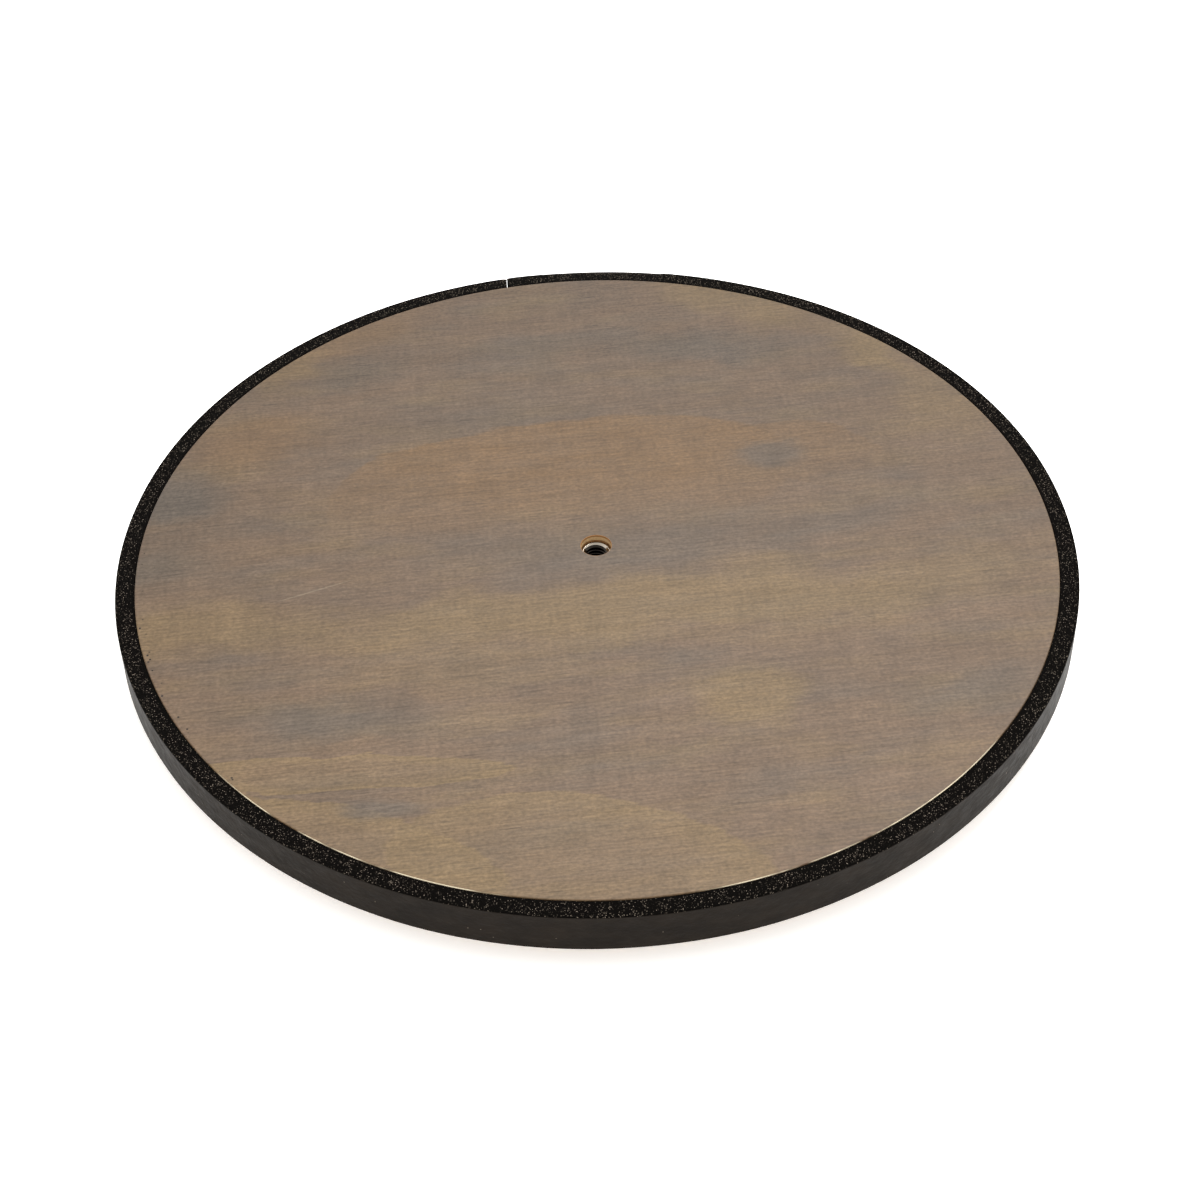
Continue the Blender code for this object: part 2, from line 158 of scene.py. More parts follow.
class BandSettings(bpy.types.PropertyGroup):
    rounding: length("Rounding", "Soft outer corners of the cut foam", 0.5)
    ripple: length("Ripple", "How far the cut faces wander up and down", 0.18)
    wave: length("Wave", "How far the outer wall is squeezed in and out", 0.3)
    dip: length("Dip", "How far the trimming cut runs low at the back", 0.9)
    askew: length("Askew", "How far one end of the strip is cut out of square", 1.1)
    cell: length("Cell", "Width of one foam cell", 0.27)
    cut: colour("Cut foam", "Opened cells on the trimmed faces", "#060504")
    glint: colour("Glint", "A cell wall that catches the light", "#82776a")
    skin: colour("Skin", "Smooth outer skin of the strip", "#16110c")


class NutSettings(bpy.types.PropertyGroup):
    flange: length("Flange", "Thickness of the flange", 1.4)
    pitch: length("Thread pitch", "Rise of the thread in one turn", 1.411)
    major: length("Major diameter", "Diameter at the bottom of the thread", 7.94)
    side_gap: length("Side gap", "Gap between the barrel and its hole", 0.12)
    prong: length("Prong height", "How far the prongs stand up from the flange", 6.5)
    zinc: colour("Zinc", "Bright zinc plate", "#a39a8d")
    # Painted shade: a darker copy of the zinc, for the shaded bore of the nut.
    bore_shade: colour("Shaded thread", "Zinc plate under a dark film of cutting oil", "#38342f")


class BearingSettings(bpy.types.PropertyGroup):
    edge: length("Edge", "Rounding of the rings' corners", 0.35)
    aluminium: colour("Aluminium", "Turned aluminium", "#cfd0d2")
    rivet: colour("Rivet", "Soft aluminium of the rivets", "#bfc0c2")
    steel: colour("Ball steel", "Polished chrome steel", "#d2d3d6")
    nylon: colour("Nylon", "Natural nylon of the cage", "#e2ded0")
    rubber: colour("Pad rubber", "Moulded rubber of the pads", "#1b1a19")


class FastenerSettings(bpy.types.PropertyGroup):
    screw_core: length("Screw core", "Diameter of the screw inside its thread", 2.5)
    screw_thread: length("Screw thread", "Diameter over the screw's thread", 3.5)
    screw_head: length("Screw head", "Diameter of the countersunk head", 6.6)
    screw_pitch: length("Screw pitch", "Rise of the wood thread in one turn", 1.6)
    screw_point: length("Screw point", "Length of the tapered point", 3.5)
    recess: length("Cross recess", "Tip to tip of the cross recess", 3.8)
    rivet: length("Rivet", "Diameter of a rivet's shank", 3.0)
    rivet_head: length("Rivet head", "Diameter of a rivet's head", 5.2)


class StageSettings(bpy.types.PropertyGroup):
    floor_size: length("Floor size", "Side of the square floor", 6000)
    floor: colour("Floor", "Matt white floor", "#fbfaf8")
    glow: FloatProperty(name="Glow", description="Strength of the light up through the floor", default=0.36)
    walls: FloatProperty(name="Walls", description="Strength of the white walls all round", default=2.5)
    ceiling: FloatProperty(name="Ceiling", description="Strength of the dimmer ceiling", default=0.7)
    key: FloatProperty(name="Key", description="Power of the soft box", default=62.0, unit="POWER")


GROUPS = {
    "stand_platter": PlatterSettings,
    "stand_band": BandSettings,
    "stand_nut": NutSettings,
    "stand_bearing": BearingSettings,
    "stand_fasteners": FastenerSettings,
    "stand_stage": StageSettings,
}


# Shape helpers


def rounded(corners, segments=4):
    """A closed (radius, height) outline from (radius, height, rounding) corners. A point stands just outside
    each round corner, so that smooth shading doesn't reach across the flats."""
    outline = []
    for index, (radius, height, rounding) in enumerate(corners):
        corner = Vector((radius, height))
        if not rounding:
            outline.append(tuple(corner))
            continue
        back = (Vector(corners[index - 1][:2]) - corner).normalized()
        ahead = (Vector(corners[(index + 1) % len(corners)][:2]) - corner).normalized()
        half = back.angle(ahead) / 2
        reach = rounding / math.tan(half)
        centre = corner + (back + ahead).normalized() * rounding / math.sin(half)
        first = (corner + back * reach - centre).normalized()
        last = (corner + ahead * reach - centre).normalized()
        outline.append(tuple(corner + back * (reach + rounding / 3)))
        outline += [
            tuple(centre + first.slerp(last, step / segments) * rounding) for step in range(segments + 1)
        ]
        outline.append(tuple(corner + ahead * (reach + rounding / 3)))
    return outline


def divided(outline, longest):
    """The same closed outline with more points on it, so that no step is longer than that."""
    finer = []
    for index, point in enumerate(outline):
        start, end = Vector(point), Vector(outline[(index + 1) % len(outline)])
        count = max(1, math.ceil((end - start).length / longest))
        finer += [tuple(start.lerp(end, step / count)) for step in range(count)]
    return finer


def turned(outline, steps, closed=True, sweep=FULL_TURN, start=0.0, sectors=1):
    """A bmesh of a (radius, height) outline turned about Z. A part turn gets its two ends capped. A long turn
    is quicker in sectors, each with its share of the steps."""
    shape = bmesh.new()
    turn = Matrix.Rotation(start, 3, "Z")
    points = [shape.verts.new(turn @ Vector((radius, 0.0, height))) for radius, height in outline]
    lines = [shape.edges.new(pair) for pair in zip(points, points[1:])]
    if closed:
        lines.append(shape.edges.new((points[-1], points[0])))
    bmesh.ops.spin(
        shape,
        geom=points + lines,
        cent=(0, 0, 0),
        axis=(0, 0, 1),
        angle=sweep / sectors,
        steps=steps // sectors,
        use_merge=sweep == FULL_TURN and sectors == 1,
    )
    if sectors > 1:
        turns = [Matrix.Rotation(sweep / sectors * sector, 4, "Z") for sector in range(sectors)]
        shape = scattered(shape, turns)
    bmesh.ops.remove_doubles(shape, verts=shape.verts, dist=TINY)
    if sweep != FULL_TURN:
        close_ends(shape)
    bmesh.ops.recalc_face_normals(shape, faces=shape.faces)
    return shape


def rod(radius, low, high, steps):
    """A bmesh of a closed cylinder on the Z axis."""
    return turned([(0, low), (radius, low), (radius, high), (0, high)], steps, False)


def coiled(outline, pitch, turns, steps, closed):
    """A bmesh of a (radius, height) outline swept up a right-handed helix, with its ends left open."""
    shape = bmesh.new()
    points = [shape.verts.new((radius, 0.0, height)) for radius, height in outline]
    lines = [shape.edges.new(pair) for pair in zip(points, points[1:])]
    if closed:
        lines.append(shape.edges.new((points[-1], points[0])))
    bmesh.ops.spin(
        shape,
        geom=points + lines,
        cent=(0, 0, 0),
        axis=(0, 0, 1),
        dvec=(0, 0, pitch / steps),
        angle=FULL_TURN * turns,
        steps=steps * turns,
        use_merge=False,
    )
    bmesh.ops.remove_doubles(shape, verts=shape.verts, dist=10 * TINY)
    return shape


def close_ends(shape):
    """Fills every open end of a shape, then turns its faces outwards."""
    bmesh.ops.holes_fill(shape, edges=[edge for edge in shape.edges if edge.is_boundary], sides=0)
    bmesh.ops.recalc_face_normals(shape, faces=shape.faces)


def scattered(master, places):
    """A bmesh with a copy of the master at each (matrix) place. The master is used up."""
    mesh = bpy.data.meshes.new("master")
    master.to_mesh(mesh)
    master.free()
    shape = bmesh.new()
    for place in places:
        copy = mesh.copy()
        copy.transform(place)
        shape.from_mesh(copy)
        bpy.data.meshes.remove(copy)
    bpy.data.meshes.remove(mesh)
    return shape


def spots(stem):
    """A matrix for each node of a numbered group, which moves a shape modelled on the Z axis to that node and
    turns its X axis outwards."""
    middles = [middle(node) for node in numbered(stem)]
    return [
        Matrix.Translation((place.x, place.y, 0.0)) @ Matrix.Rotation(math.atan2(place.y, place.x), 4, "Z")
        for place in middles
    ]


def block(size, centre):
    """A bmesh of a closed box."""
    shape = bmesh.new()
    bmesh.ops.create_cube(shape, size=1.0, matrix=Matrix.Translation(centre) @ Matrix.Diagonal((*size, 1.0)))
    return shape


def boolean(shape, tool, operation="DIFFERENCE"):
    """Cuts a closed tool out of a closed shape, or joins the two, as a new bmesh. Both are used up."""
    holders = []
    for source in (shape, tool):
        mesh = bpy.data.meshes.new("boolean")
        source.to_mesh(mesh)
        source.free()
        holder = bpy.data.objects.new("boolean", mesh)
        bpy.context.scene.collection.objects.link(holder)
        holders.append(holder)
    work = holders[0].modifiers.new("boolean", "BOOLEAN")
    work.object = holders[1]
    work.operation = operation
    work.solver = "EXACT"
    bpy.context.view_layer.update()
    result = bmesh.new()
    result.from_object(holders[0], bpy.context.evaluated_depsgraph_get())
    for holder in holders:
        mesh = holder.data
        bpy.data.objects.remove(holder)
        bpy.data.meshes.remove(mesh)
    bmesh.ops.remove_doubles(result, verts=result.verts, dist=TINY)
    bmesh.ops.dissolve_degenerate(result, edges=result.edges, dist=TINY)
    return result


def make_piece(shape, name, node, body, materials, sharp=35):
    """Turns a bmesh into a finished piece, which stands for a CAD node and rides on a body. Edges of more than
    that many degrees are shaded sharp."""
    mesh = bpy.data.meshes.new(name)
    shape.to_mesh(mesh)
    shape.free()
    mesh.shade_smooth()
    mesh.set_sharp_from_angle(angle=math.radians(sharp))
    for material in materials:
        mesh.materials.append(material)
    piece = bpy.data.objects.new(name, mesh)
    bpy.context.scene.collection.objects.link(piece)
    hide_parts(node)
    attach(piece, body)
    return piece


def make_copies(master, stem, name, body, material, sharp=35):
    """One finished piece for each node of a numbered group. The master stands on the Z axis and is used up."""
    for number, (node, place) in enumerate(zip(numbered(stem), spots(stem)), start=1):
        shape = master.copy()
        shape.transform(place)
        make_piece(shape, f"{name}_{number:02d}", node, body, [material], sharp)
    master.free()


# Material helpers


def fill(tree, node, values):
    """Sets a node's options and sockets, by name or number. A value that is another node's output is linked."""
    for key, value in values.items():
        if isinstance(value, bpy.types.NodeSocket):
            tree.links.new(value, node.inputs[key])
        elif isinstance(key, int) or key in node.inputs:
            node.inputs[key].default_value = value
        else:
            setattr(node, key, value)


def add(tree, kind, values=None):
    """Adds a shader node with its settings and links."""
    node = tree.nodes.new("ShaderNode" + kind)
    fill(tree, node, values or {})
    return node


def new_material(name):
    """A material, its node tree, its shader and its Object coordinates."""
    material = bpy.data.materials.new(name)
    material.use_nodes = True
    tree = material.node_tree
    return material, tree, tree.nodes["Principled BSDF"], add(tree, "TexCoord").outputs["Object"]


def in_mm(*sizes):
    """Sizes in millimetres as a tuple in metres."""
    return tuple(size * MM for size in sizes)


# Settings of a Mix node: socket 7 is laid over socket 6, as far as socket 0 says, or multiplied with it.
OVER = {"data_type": "RGBA"}
TIMES = {"data_type": "RGBA", "blend_type": "MULTIPLY", 0: 1.0}


def grid(size, turn=0.0, at=(0.0, 0.0)):
    """Settings of a Mapping node whose unit is that size in millimetres, turned in degrees about that place."""
    rotation = (0.0, 0.0, math.radians(turn))
    return {"vector_type": "TEXTURE", "Location": in_mm(*at, 0.0), "Rotation": rotation, "Scale": in_mm(*size)}


def mottle(tree, place, size, low, high, turn=0.0, detail=2.0, spread=(0.3, 0.7), at=(0.0, 0.0)):
    """Soft noise whose features have that size in millimetres, as a value that runs from low to high."""
    local = add(tree, "Mapping", {**grid(size, turn, at), "Vector": place}).outputs[0]
    cloud = add(tree, "TexNoise", {"Scale": 1.0, "Detail": detail, "Vector": local}).outputs["Fac"]
    run = {"From Min": spread[0], "From Max": spread[1], "To Min": low, "To Max": high}
    return add(tree, "MapRange", {**run, "Value": cloud}).outputs["Result"]


def drifted(tree, place, size, reach, turn=0.0):
    """Coordinates pushed about sideways by noise, up to that many millimetres each way."""
    local = add(tree, "Mapping", {**grid(size, turn), "Vector": place}).outputs[0]
    push = add(tree, "TexNoise", {"Scale": 1.0, "Detail": 2.0, "Vector": local}).outputs["Color"]
    # Noise colour centres on a half and seldom strays more than a quarter from it.
    scaled = {"operation": "MULTIPLY_ADD", 0: push, 1: in_mm(4 * reach, 4 * reach, 0.0), 2: place}
    pushed = add(tree, "VectorMath", scaled).outputs[0]
    back = {"operation": "ADD", 0: pushed, 1: in_mm(-2 * reach, -2 * reach, 0.0)}
    return add(tree, "VectorMath", back).outputs[0]


def blots(tree, place, *areas):
    """The strongest of some soft ellipses. Each has a centre and a half size in millimetres, a turn in degrees,
    an edge, which is how far in from its rim it starts and is full, and a strength, which may be an output."""
    strongest = None
    for centre, half, turn, edge, strength in areas:
        local = add(tree, "Mapping", {**grid((*half, DEEP), turn, centre), "Vector": place}).outputs[0]
        inwards = add(tree, "TexGradient", {"gradient_type": "SPHERICAL", "Vector": local}).outputs["Fac"]
        run = {"interpolation_type": "SMOOTHSTEP", "From Min": edge[0], "From Max": edge[1], "To Max": strength}
        ellipse = add(tree, "MapRange", {**run, "Value": inwards}).outputs["Result"]
        if strongest is not None:
            ellipse = add(tree, "Math", {"operation": "MAXIMUM", 0: strongest, 1: ellipse}).outputs[0]
        strongest = ellipse
    return strongest


# Materials

GRAIN_TURN = 6  # degrees that the face veneer's grain climbs to the right
RAW_TURN = -3  # degrees that the grain of the raw underside climbs


def stained_birch_veneer(sizes):
    """Rotary-cut birch veneer, sanded, stained grey-brown by hand and sealed matt. The uneven coats give cloudy
    warm, straw and slate areas with lap marks, and the fine grain shows through as short dark fibres."""
    material, tree, shader, place = new_material("stained_birch_veneer")
    bent = drifted(tree, place, (70, 45, DEEP), 5.0, GRAIN_TURN)
    lapped = drifted(tree, bent, (9, 2.2, DEEP), 1.1, GRAIN_TURN)
    cloudy = drifted(tree, lapped, (26, 16, DEEP), 6.0, GRAIN_TURN)

    # Layers of tone and how far each covers, from the bottom up. Cloudy streaks along the grain come first.
    layers = []
    for tone, size, spread, at in (
        (sizes.slate, (46, 15, DEEP), (0.46, 0.72), (0, 0)),
        (sizes.straw, (38, 12, DEEP), (0.48, 0.75), (300, 120)),
    ):
        layers.append((tone, mottle(tree, place, size, 0.0, 0.55, GRAIN_TURN, 5.0, spread, at)))
    # Then the larger areas.
    for tone, *areas in (
        (sizes.slate, ((42, 110), (60, 15), -2, (0.0, 0.9), 0.8), ((-25, 108), (40, 17), 4, (0.0, 0.9), 0.55)),
        (sizes.slate, ((-82, 98), (30, 15), 8, (0.0, 0.9), 0.6), ((-148, 30), (34, 22), 20, (0.0, 0.8), 1.0)),
        (sizes.slate, ((-150, -8), (40, 18), 8, (0.0, 0.9), 0.8), ((-84, -77), (52, 13), 3, (0.0, 0.9), 0.8)),
        (sizes.slate, ((118, -70), (40, 14), 16, (0.0, 0.9), 0.6), ((-40, 72), (60, 20), 12, (0.0, 0.9), 0.4)),
        (sizes.slate, ((8, -1), (80, 24), 5, (0.0, 0.8), 0.55), ((95, 14), (46, 14), 6, (0.0, 0.9), 0.45)),
        (sizes.straw, ((20, -29), (165, 19), 5, (0.0, 0.6), 0.8), ((-50, -54), (54, 15), 5, (0.0, 0.7), 0.35)),
        (sizes.straw, ((45, -72), (20, 17), 0, (0.0, 0.6), 0.8), ((-130, -36), (48, 16), 5, (0.0, 0.7), 0.7)),
        (sizes.straw, ((55, 140), (50, 16), -24, (0.0, 0.7), 0.8), ((122, 70), (28, 22), -50, (0.0, 0.9), 0.6)),
        (
            sizes.straw,
            ((104, 104), (28, 13), -44, (0.0, 0.8), 0.9),
            ((-104, 104), (26, 12), 44, (0.0, 0.8), 0.8),
        ),
        (sizes.warm, ((-118, 62), (30, 20), 25, (0.0, 0.8), 0.6), ((-84, 122), (44, 16), 38, (0.0, 0.8), 0.5)),
    ):
        layers.append((tone, blots(tree, cloudy, *areas)))

    # The lap mark: a second coat stopped on a sharp line above and was feathered out below.
    lap = blots(
        tree,
        lapped,
        ((-10, 34), (84, 36), 9, (0.02, 0.08), 1.0),
        ((-64, 20), (27, 33), 0, (0.02, 0.08), 0.85),
        ((76, 45), (34, 15), -24, (0.03, 0.12), 0.8),
    )
    feathered = blots(tree, place, ((0, 66), (170, 72), 6, (0.05, 0.62), lap))
    worked = mottle(tree, place, (24, 10, DEEP), 0.6, 1.0, GRAIN_TURN, 4.0)
    cover = add(tree, "Math", {"operation": "MULTIPLY", 0: feathered, 1: worked}).outputs[0]
    layers.append((sizes.warm, cover))
    layers.append((sizes.slate, blots(tree, lapped, ((63, 45), (17, 8), 0, (0.0, 0.6), 0.7))))

    # Growth figure at the lower left: tongues of pale wood, each with a crisp edge that fades inwards.
    for centre, half, turn, strength in (
        ((-8, -140), (58, 29), -8, 0.7),
        ((-96, -134), (70, 22), -10, 0.8),
        ((-80, -102), (52, 8), 3, 0.8),
    ):
        inside = blots(tree, lapped, (centre, half, turn, (0.06, 0.5), 1.0))
        run = {"To Min": strength, "To Max": 0.45 * strength, "Value": inside}
        fading = add(tree, "MapRange", run).outputs["Result"]
        layers.append((sizes.straw, blots(tree, lapped, (centre, half, turn, (0.02, 0.06), fading))))
    layers.append((sizes.slate, blots(tree, lapped, ((-66, -118), (17, 5), 3, (0.0, 0.7), 0.8))))
    scratch = blots(tree, place, ((-93, -19), (17, 0.4), 22, (0.0, 0.5), 0.05))
    layers.append((sizes.scratch_and_rim_highlight, scratch))
    toned = sizes.stain[:]
    for tone, cover in layers:
        toned = add(tree, "Mix", {**OVER, 0: cover, 6: toned, 7: tone[:]}).outputs[2]

    # Painted sheen: the face is painted lighter towards the front and darker towards the back, as the light
    # falls on it.
    level = add(tree, "SeparateXYZ", {"Vector": cloudy}).outputs["Y"]
    run = {"From Min": -110 * MM, "From Max": 150 * MM, "To Min": 1.22, "To Max": 0.84, "Value": level}
    grain = add(tree, "MapRange", run).outputs["Result"]
    # Fine grain: broad bands, streaks, short fibres, pores, the cross marks of sanding and, last, dark fibres.
    for size, low, high, turn, detail, spread in (
        ((240, 13, DEEP), 0.94, 1.06, GRAIN_TURN, 2.0, (0.3, 0.7)),
        ((60, 1.9, DEEP), 0.93, 1.07, GRAIN_TURN, 3.0, (0.3, 0.7)),
        ((9, 0.8, DEEP), 0.82, 1.14, GRAIN_TURN, 3.0, (0.3, 0.7)),
        ((1.3, 1.0, DEEP), 0.78, 1.18, GRAIN_TURN, 3.0, (0.3, 0.7)),
        ((2.4, 16, DEEP), 0.93, 1.06, 2.0, 4.0, (0.3, 0.7)),
        ((14, 30, DEEP), 0.94, 1.06, 4.0, 3.0, (0.3, 0.7)),
        ((11, 0.6, DEEP), 0.6, 1.0, GRAIN_TURN, 1.0, (0.2, 0.36)),
    ):
        layer = mottle(tree, place, size, low, high, turn, detail, spread)
        grain = add(tree, "Math", {"operation": "MULTIPLY", 0: grain, 1: layer}).outputs[0]
    # The painted sheen and the grain together scale the toned stain.
    toned = add(tree, "Mix", {**TIMES, 6: toned, 7: grain}).outputs[2]

    # Painted highlight: the sharp rim is painted pale along parts of the front left and front right. The rim is
    # also nicked by the knife at the left.
    height = add(tree, "SeparateXYZ", {"Vector": place}).outputs["Z"]
    patchy = mottle(tree, place, (13, 13, 13), 0.0, 1.0, 0.0, 3.0, (0.36, 0.54))
    left_front = ((-80, -130), (62, 30), -32, (0.0, 0.3), patchy)
    right_front = ((80, -131), (66, 28), 32, (0.0, 0.3), patchy)
    # The painted highlight's patches, at the front left and front right of the rim.
    sanded = blots(tree, place, left_front, right_front)
    arris = {"From Min": PLATTER_TOP - 0.01 * MM, "From Max": PLATTER_TOP - 0.08 * MM, "To Max": sanded}
    bare = add(tree, "MapRange", {**arris, "Value": height}).outputs["Result"]
    toned = add(tree, "Mix", {**OVER, 0: bare, 6: toned, 7: sizes.scratch_and_rim_highlight[:]}).outputs[2]
    nicks = add(tree, "TexVoronoi", {"Scale": 1 / (2.3 * MM), "Vector": place}).outputs["Distance"]
    at_left = blots(tree, place, ((-142, -55), (44, 74), 12, (0.0, 0.2), 1.0))
    rim = PLATTER_RADIUS / MM
    # A falling edge keeps only the outermost two per cent of the radius.
    in_rim = blots(tree, place, ((0, 0), (rim, rim), 0.0, (0.022, 0.012), at_left))
    dots = {"From Min": 0.2, "From Max": 0.12, "To Max": in_rim, "Value": nicks}
    dotted = add(tree, "MapRange", dots).outputs["Result"]
    toned = add(tree, "Mix", {**OVER, 0: dotted, 6: toned, 7: sizes.nick[:]}).outputs[2]

    sheen = mottle(tree, place, (40, 6, DEEP), 0.36, 0.44, GRAIN_TURN, 3.0)
    fibres = mottle(tree, place, (15, 0.4, DEEP), 0.0, 1.0, GRAIN_TURN, 3.0)
    relief = add(tree, "Bump", {"Distance": 0.03 * MM, "Height": fibres}).outputs[0]
    fill(tree, shader, {"Base Color": toned, "Roughness": sheen, "Specular IOR Level": 0.08, "Normal": relief})
    return material


def raw_birch_veneer(sizes):
    """Unfinished birch veneer, sanded. Pale and matt, with fine fibres and soft growth bands."""
    material, tree, shader, place = new_material("raw_birch_veneer")
    wavy = drifted(tree, place, (90, 60, DEEP), 4.0)
    toned = sizes.birch[:]
    for where, size, low, high, detail, spread in (
        (wavy, (220, 7, DEEP), 0.86, 1.06, 3.0, (0.3, 0.7)),
        (wavy, (50, 1.5, DEEP), 0.92, 1.05, 3.0, (0.3, 0.7)),
        (place, (10, 0.4, DEEP), 0.8, 1.03, 1.0, (0.25, 0.5)),
    ):
        layer = mottle(tree, where, size, low, high, RAW_TURN, detail, spread)
        toned = add(tree, "Mix", {**TIMES, 6: toned, 7: layer}).outputs[2]
    fibres = mottle(tree, place, (15, 0.4, DEEP), 0.0, 1.0, RAW_TURN, 3.0)
    relief = add(tree, "Bump", {"Distance": 0.04 * MM, "Height": fibres}).outputs[0]
    fill(tree, shader, {"Base Color": toned, "Roughness": 0.75, "Specular IOR Level": 0.15, "Normal": relief})
    return material


def birch_ply_edge(sizes):
    """The sawn edge of birch plywood. Plies show as bands in turn pale and dark, with thin dark glue lines."""
    material, tree, shader, place = new_material("birch_ply_edge")
    height = add(tree, "SeparateXYZ", {"Vector": place}).outputs["Z"]
    uneven = mottle(tree, place, (12, 12, DEEP), -0.06, 0.06)
    plies = add(tree, "Math", {"operation": "MULTIPLY_ADD", 0: height, 1: 1 / sizes.ply, 2: uneven}).outputs[0]
    turn_about = add(tree, "Math", {"operation": "PINGPONG", 0: plies, 1: 1.0}).outputs[0]
    ends = {"interpolation_type": "SMOOTHSTEP", "From Min": 0.44, "From Max": 0.56, "Value": turn_about}
    end_grain = add(tree, "MapRange", ends).outputs["Result"]
    toned = add(tree, "Mix", {**OVER, 0: end_grain, 6: sizes.birch[:], 7: sizes.birch_end[:]}).outputs[2]
    halves = add(tree, "Math", {"operation": "PINGPONG", 0: plies, 1: 0.5}).outputs[0]
    line = {"From Min": 0.41, "From Max": 0.5, "To Min": 1.0, "To Max": 0.45, "Value": halves}
    glue = add(tree, "MapRange", line).outputs["Result"]
    pores = mottle(tree, place, (0.5, 0.5, 0.35), 0.75, 1.05, 0.0, 3.0)
    for layer in (glue, pores):
        toned = add(tree, "Mix", {**TIMES, 6: toned, 7: layer}).outputs[2]
    relief = add(tree, "Bump", {"Distance": 0.08 * MM, "Height": pores}).outputs[0]
    fill(tree, shader, {"Base Color": toned, "Roughness": 0.8, "Specular IOR Level": 0.2, "Normal": relief})
    return material


def cut_foam(sizes):
    """Closed-cell rubber foam, cut with a blade. Opened cells trap the light, so it is almost black and quite
    matt, and here and there a stretched cell wall glints."""
    material, tree, shader, place = new_material("cut_foam")
    cells = add(tree, "TexVoronoi", {"Scale": 1 / sizes.cell, "Vector": place})
    tone = add(tree, "SeparateColor", {"Color": cells.outputs["Color"]}).outputs["Red"]
    lit = add(tree, "MapRange", {"From Min": 0.8, "From Max": 1.0, "Value": tone}).outputs["Result"]
    sharper = add(tree, "Math", {"operation": "POWER", 0: lit, 1: 2.4}).outputs[0]
    body = {"From Min": 0.62, "From Max": 0.3, "To Max": sharper, "Value": cells.outputs["Distance"]}
    glints = add(tree, "MapRange", body).outputs["Result"]
    # The millimetre next to the wood gets fewer glints, so it shows darker.
    reach = BAND_INNER / MM + 1.1
    fewer_glints_near_wood = blots(tree, place, ((0, 0), (reach, reach), 0.0, (0.0, 0.004), 0.35))
    share = add(tree, "Math", {"operation": "SUBTRACT", 0: glints, 1: fewer_glints_near_wood}).outputs[0]
    toned = add(tree, "Mix", {**OVER, 0: share, 6: sizes.cut[:], 7: sizes.glint[:]}).outputs[2]
    relief = add(tree, "Bump", {"Distance": 0.2 * MM, "Height": cells.outputs["Distance"]}).outputs[0]
    fill(tree, shader, {"Base Color": toned, "Roughness": 1.0, "Specular IOR Level": 0.02, "Normal": relief})
    return material


def foam_skin(sizes):
    """The moulded skin of a foam strip. Smooth and faintly satin, with shallow stretch wrinkles and dust."""
    material, tree, shader, place = new_material("foam_skin")
    cloudy = mottle(tree, place, (9, 9, 5), 0.75, 1.25, 0.0, 3.0)
    toned = add(tree, "Mix", {**TIMES, 6: sizes.skin[:], 7: cloudy}).outputs[2]
    specks = add(tree, "TexVoronoi", {"Scale": 1 / (1.8 * MM), "Vector": place})
    near = {"From Min": 0.11, "From Max": 0.06, "To Max": 0.6, "Value": specks.outputs["Distance"]}
    spot = add(tree, "MapRange", near).outputs["Result"]
    chosen = add(tree, "SeparateColor", {"Color": specks.outputs["Color"]}).outputs["Red"]
    few = {"From Min": 0.9, "From Max": 0.93, "To Max": spot, "Value": chosen}
    dust = add(tree, "MapRange", few).outputs["Result"]
    toned = add(tree, "Mix", {**OVER, 0: dust, 6: toned, 7: sizes.glint[:]}).outputs[2]
    rough = mottle(tree, place, (5, 5, 3), 0.45, 0.58, 0.0, 3.0)
    wrinkles = mottle(tree, place, (2.6, 2.6, 1.8), 0.0, 1.0, 0.0, 4.0)
    relief = add(tree, "Bump", {"Distance": 0.08 * MM, "Height": wrinkles}).outputs[0]
    fill(tree, shader, {"Base Color": toned, "Roughness": rough, "Specular IOR Level": 0.06, "Normal": relief})
    return material


def lathe_lines(tree, place, pitch):
    """A value that changes with the distance from the Z axis and with height, as a turning tool leaves it."""
    flat = add(tree, "VectorMath", {"operation": "MULTIPLY", 0: place, 1: (1.0, 1.0, 0.0)}).outputs[0]
    reach = add(tree, "VectorMath", {"operation": "LENGTH", 0: flat}).outputs["Value"]
    height = add(tree, "SeparateXYZ", {"Vector": place}).outputs["Z"]
    section = add(tree, "CombineXYZ", {"X": reach, "Y": height}).outputs[0]
    return add(tree, "TexNoise", {"Scale": 1 / (pitch * MM), "Detail": 1.0, "Vector": section}).outputs["Fac"]


def metal(name, base, roughness, depth, pitch=0.0):
    """A bare or plated metal with slightly patchy gloss and marks of that depth in mm. With a pitch they are a
    turning tool's, and without one they are an even fine pebbling."""
    material, tree, shader, place = new_material(name)
    gloss = mottle(tree, place, (6, 6, 6), 0.88 * roughness, 1.12 * roughness, 0.0, 4.0)
    patchy = mottle(tree, place, (11, 11, 11), 0.9, 1.0, 0.0, 3.0)
    toned = add(tree, "Mix", {**TIMES, 6: base, 7: patchy}).outputs[2]
    marks = lathe_lines(tree, place, pitch) if pitch else mottle(tree, place, (0.3, 0.3, 0.3), 0.0, 1.0)
    relief = add(tree, "Bump", {"Distance": depth * MM, "Height": marks}).outputs[0]
    fill(tree, shader, {"Base Color": toned, "Metallic": 1.0, "Roughness": gloss, "Normal": relief})
    return material


def moulded(name, base, roughness, subsurface=0.0):
    """A moulded nylon or rubber with a faint spark-eroded texture."""
    material, tree, shader, place = new_material(name)
    cloudy = mottle(tree, place, (4, 4, 4), 0.92, 1.04)
    toned = add(tree, "Mix", {**TIMES, 6: base, 7: cloudy}).outputs[2]
    pebbled = mottle(tree, place, (0.25, 0.25, 0.25), 0.0, 1.0)
    relief = add(tree, "Bump", {"Distance": 0.02 * MM, "Height": pebbled}).outputs[0]
    fill(tree, shader, {"Base Color": toned, "Roughness": roughness, "Normal": relief})
    fill(tree, shader, {"Subsurface Weight": subsurface, "Subsurface Scale": 1.0 * MM})
    return material


# Pieces


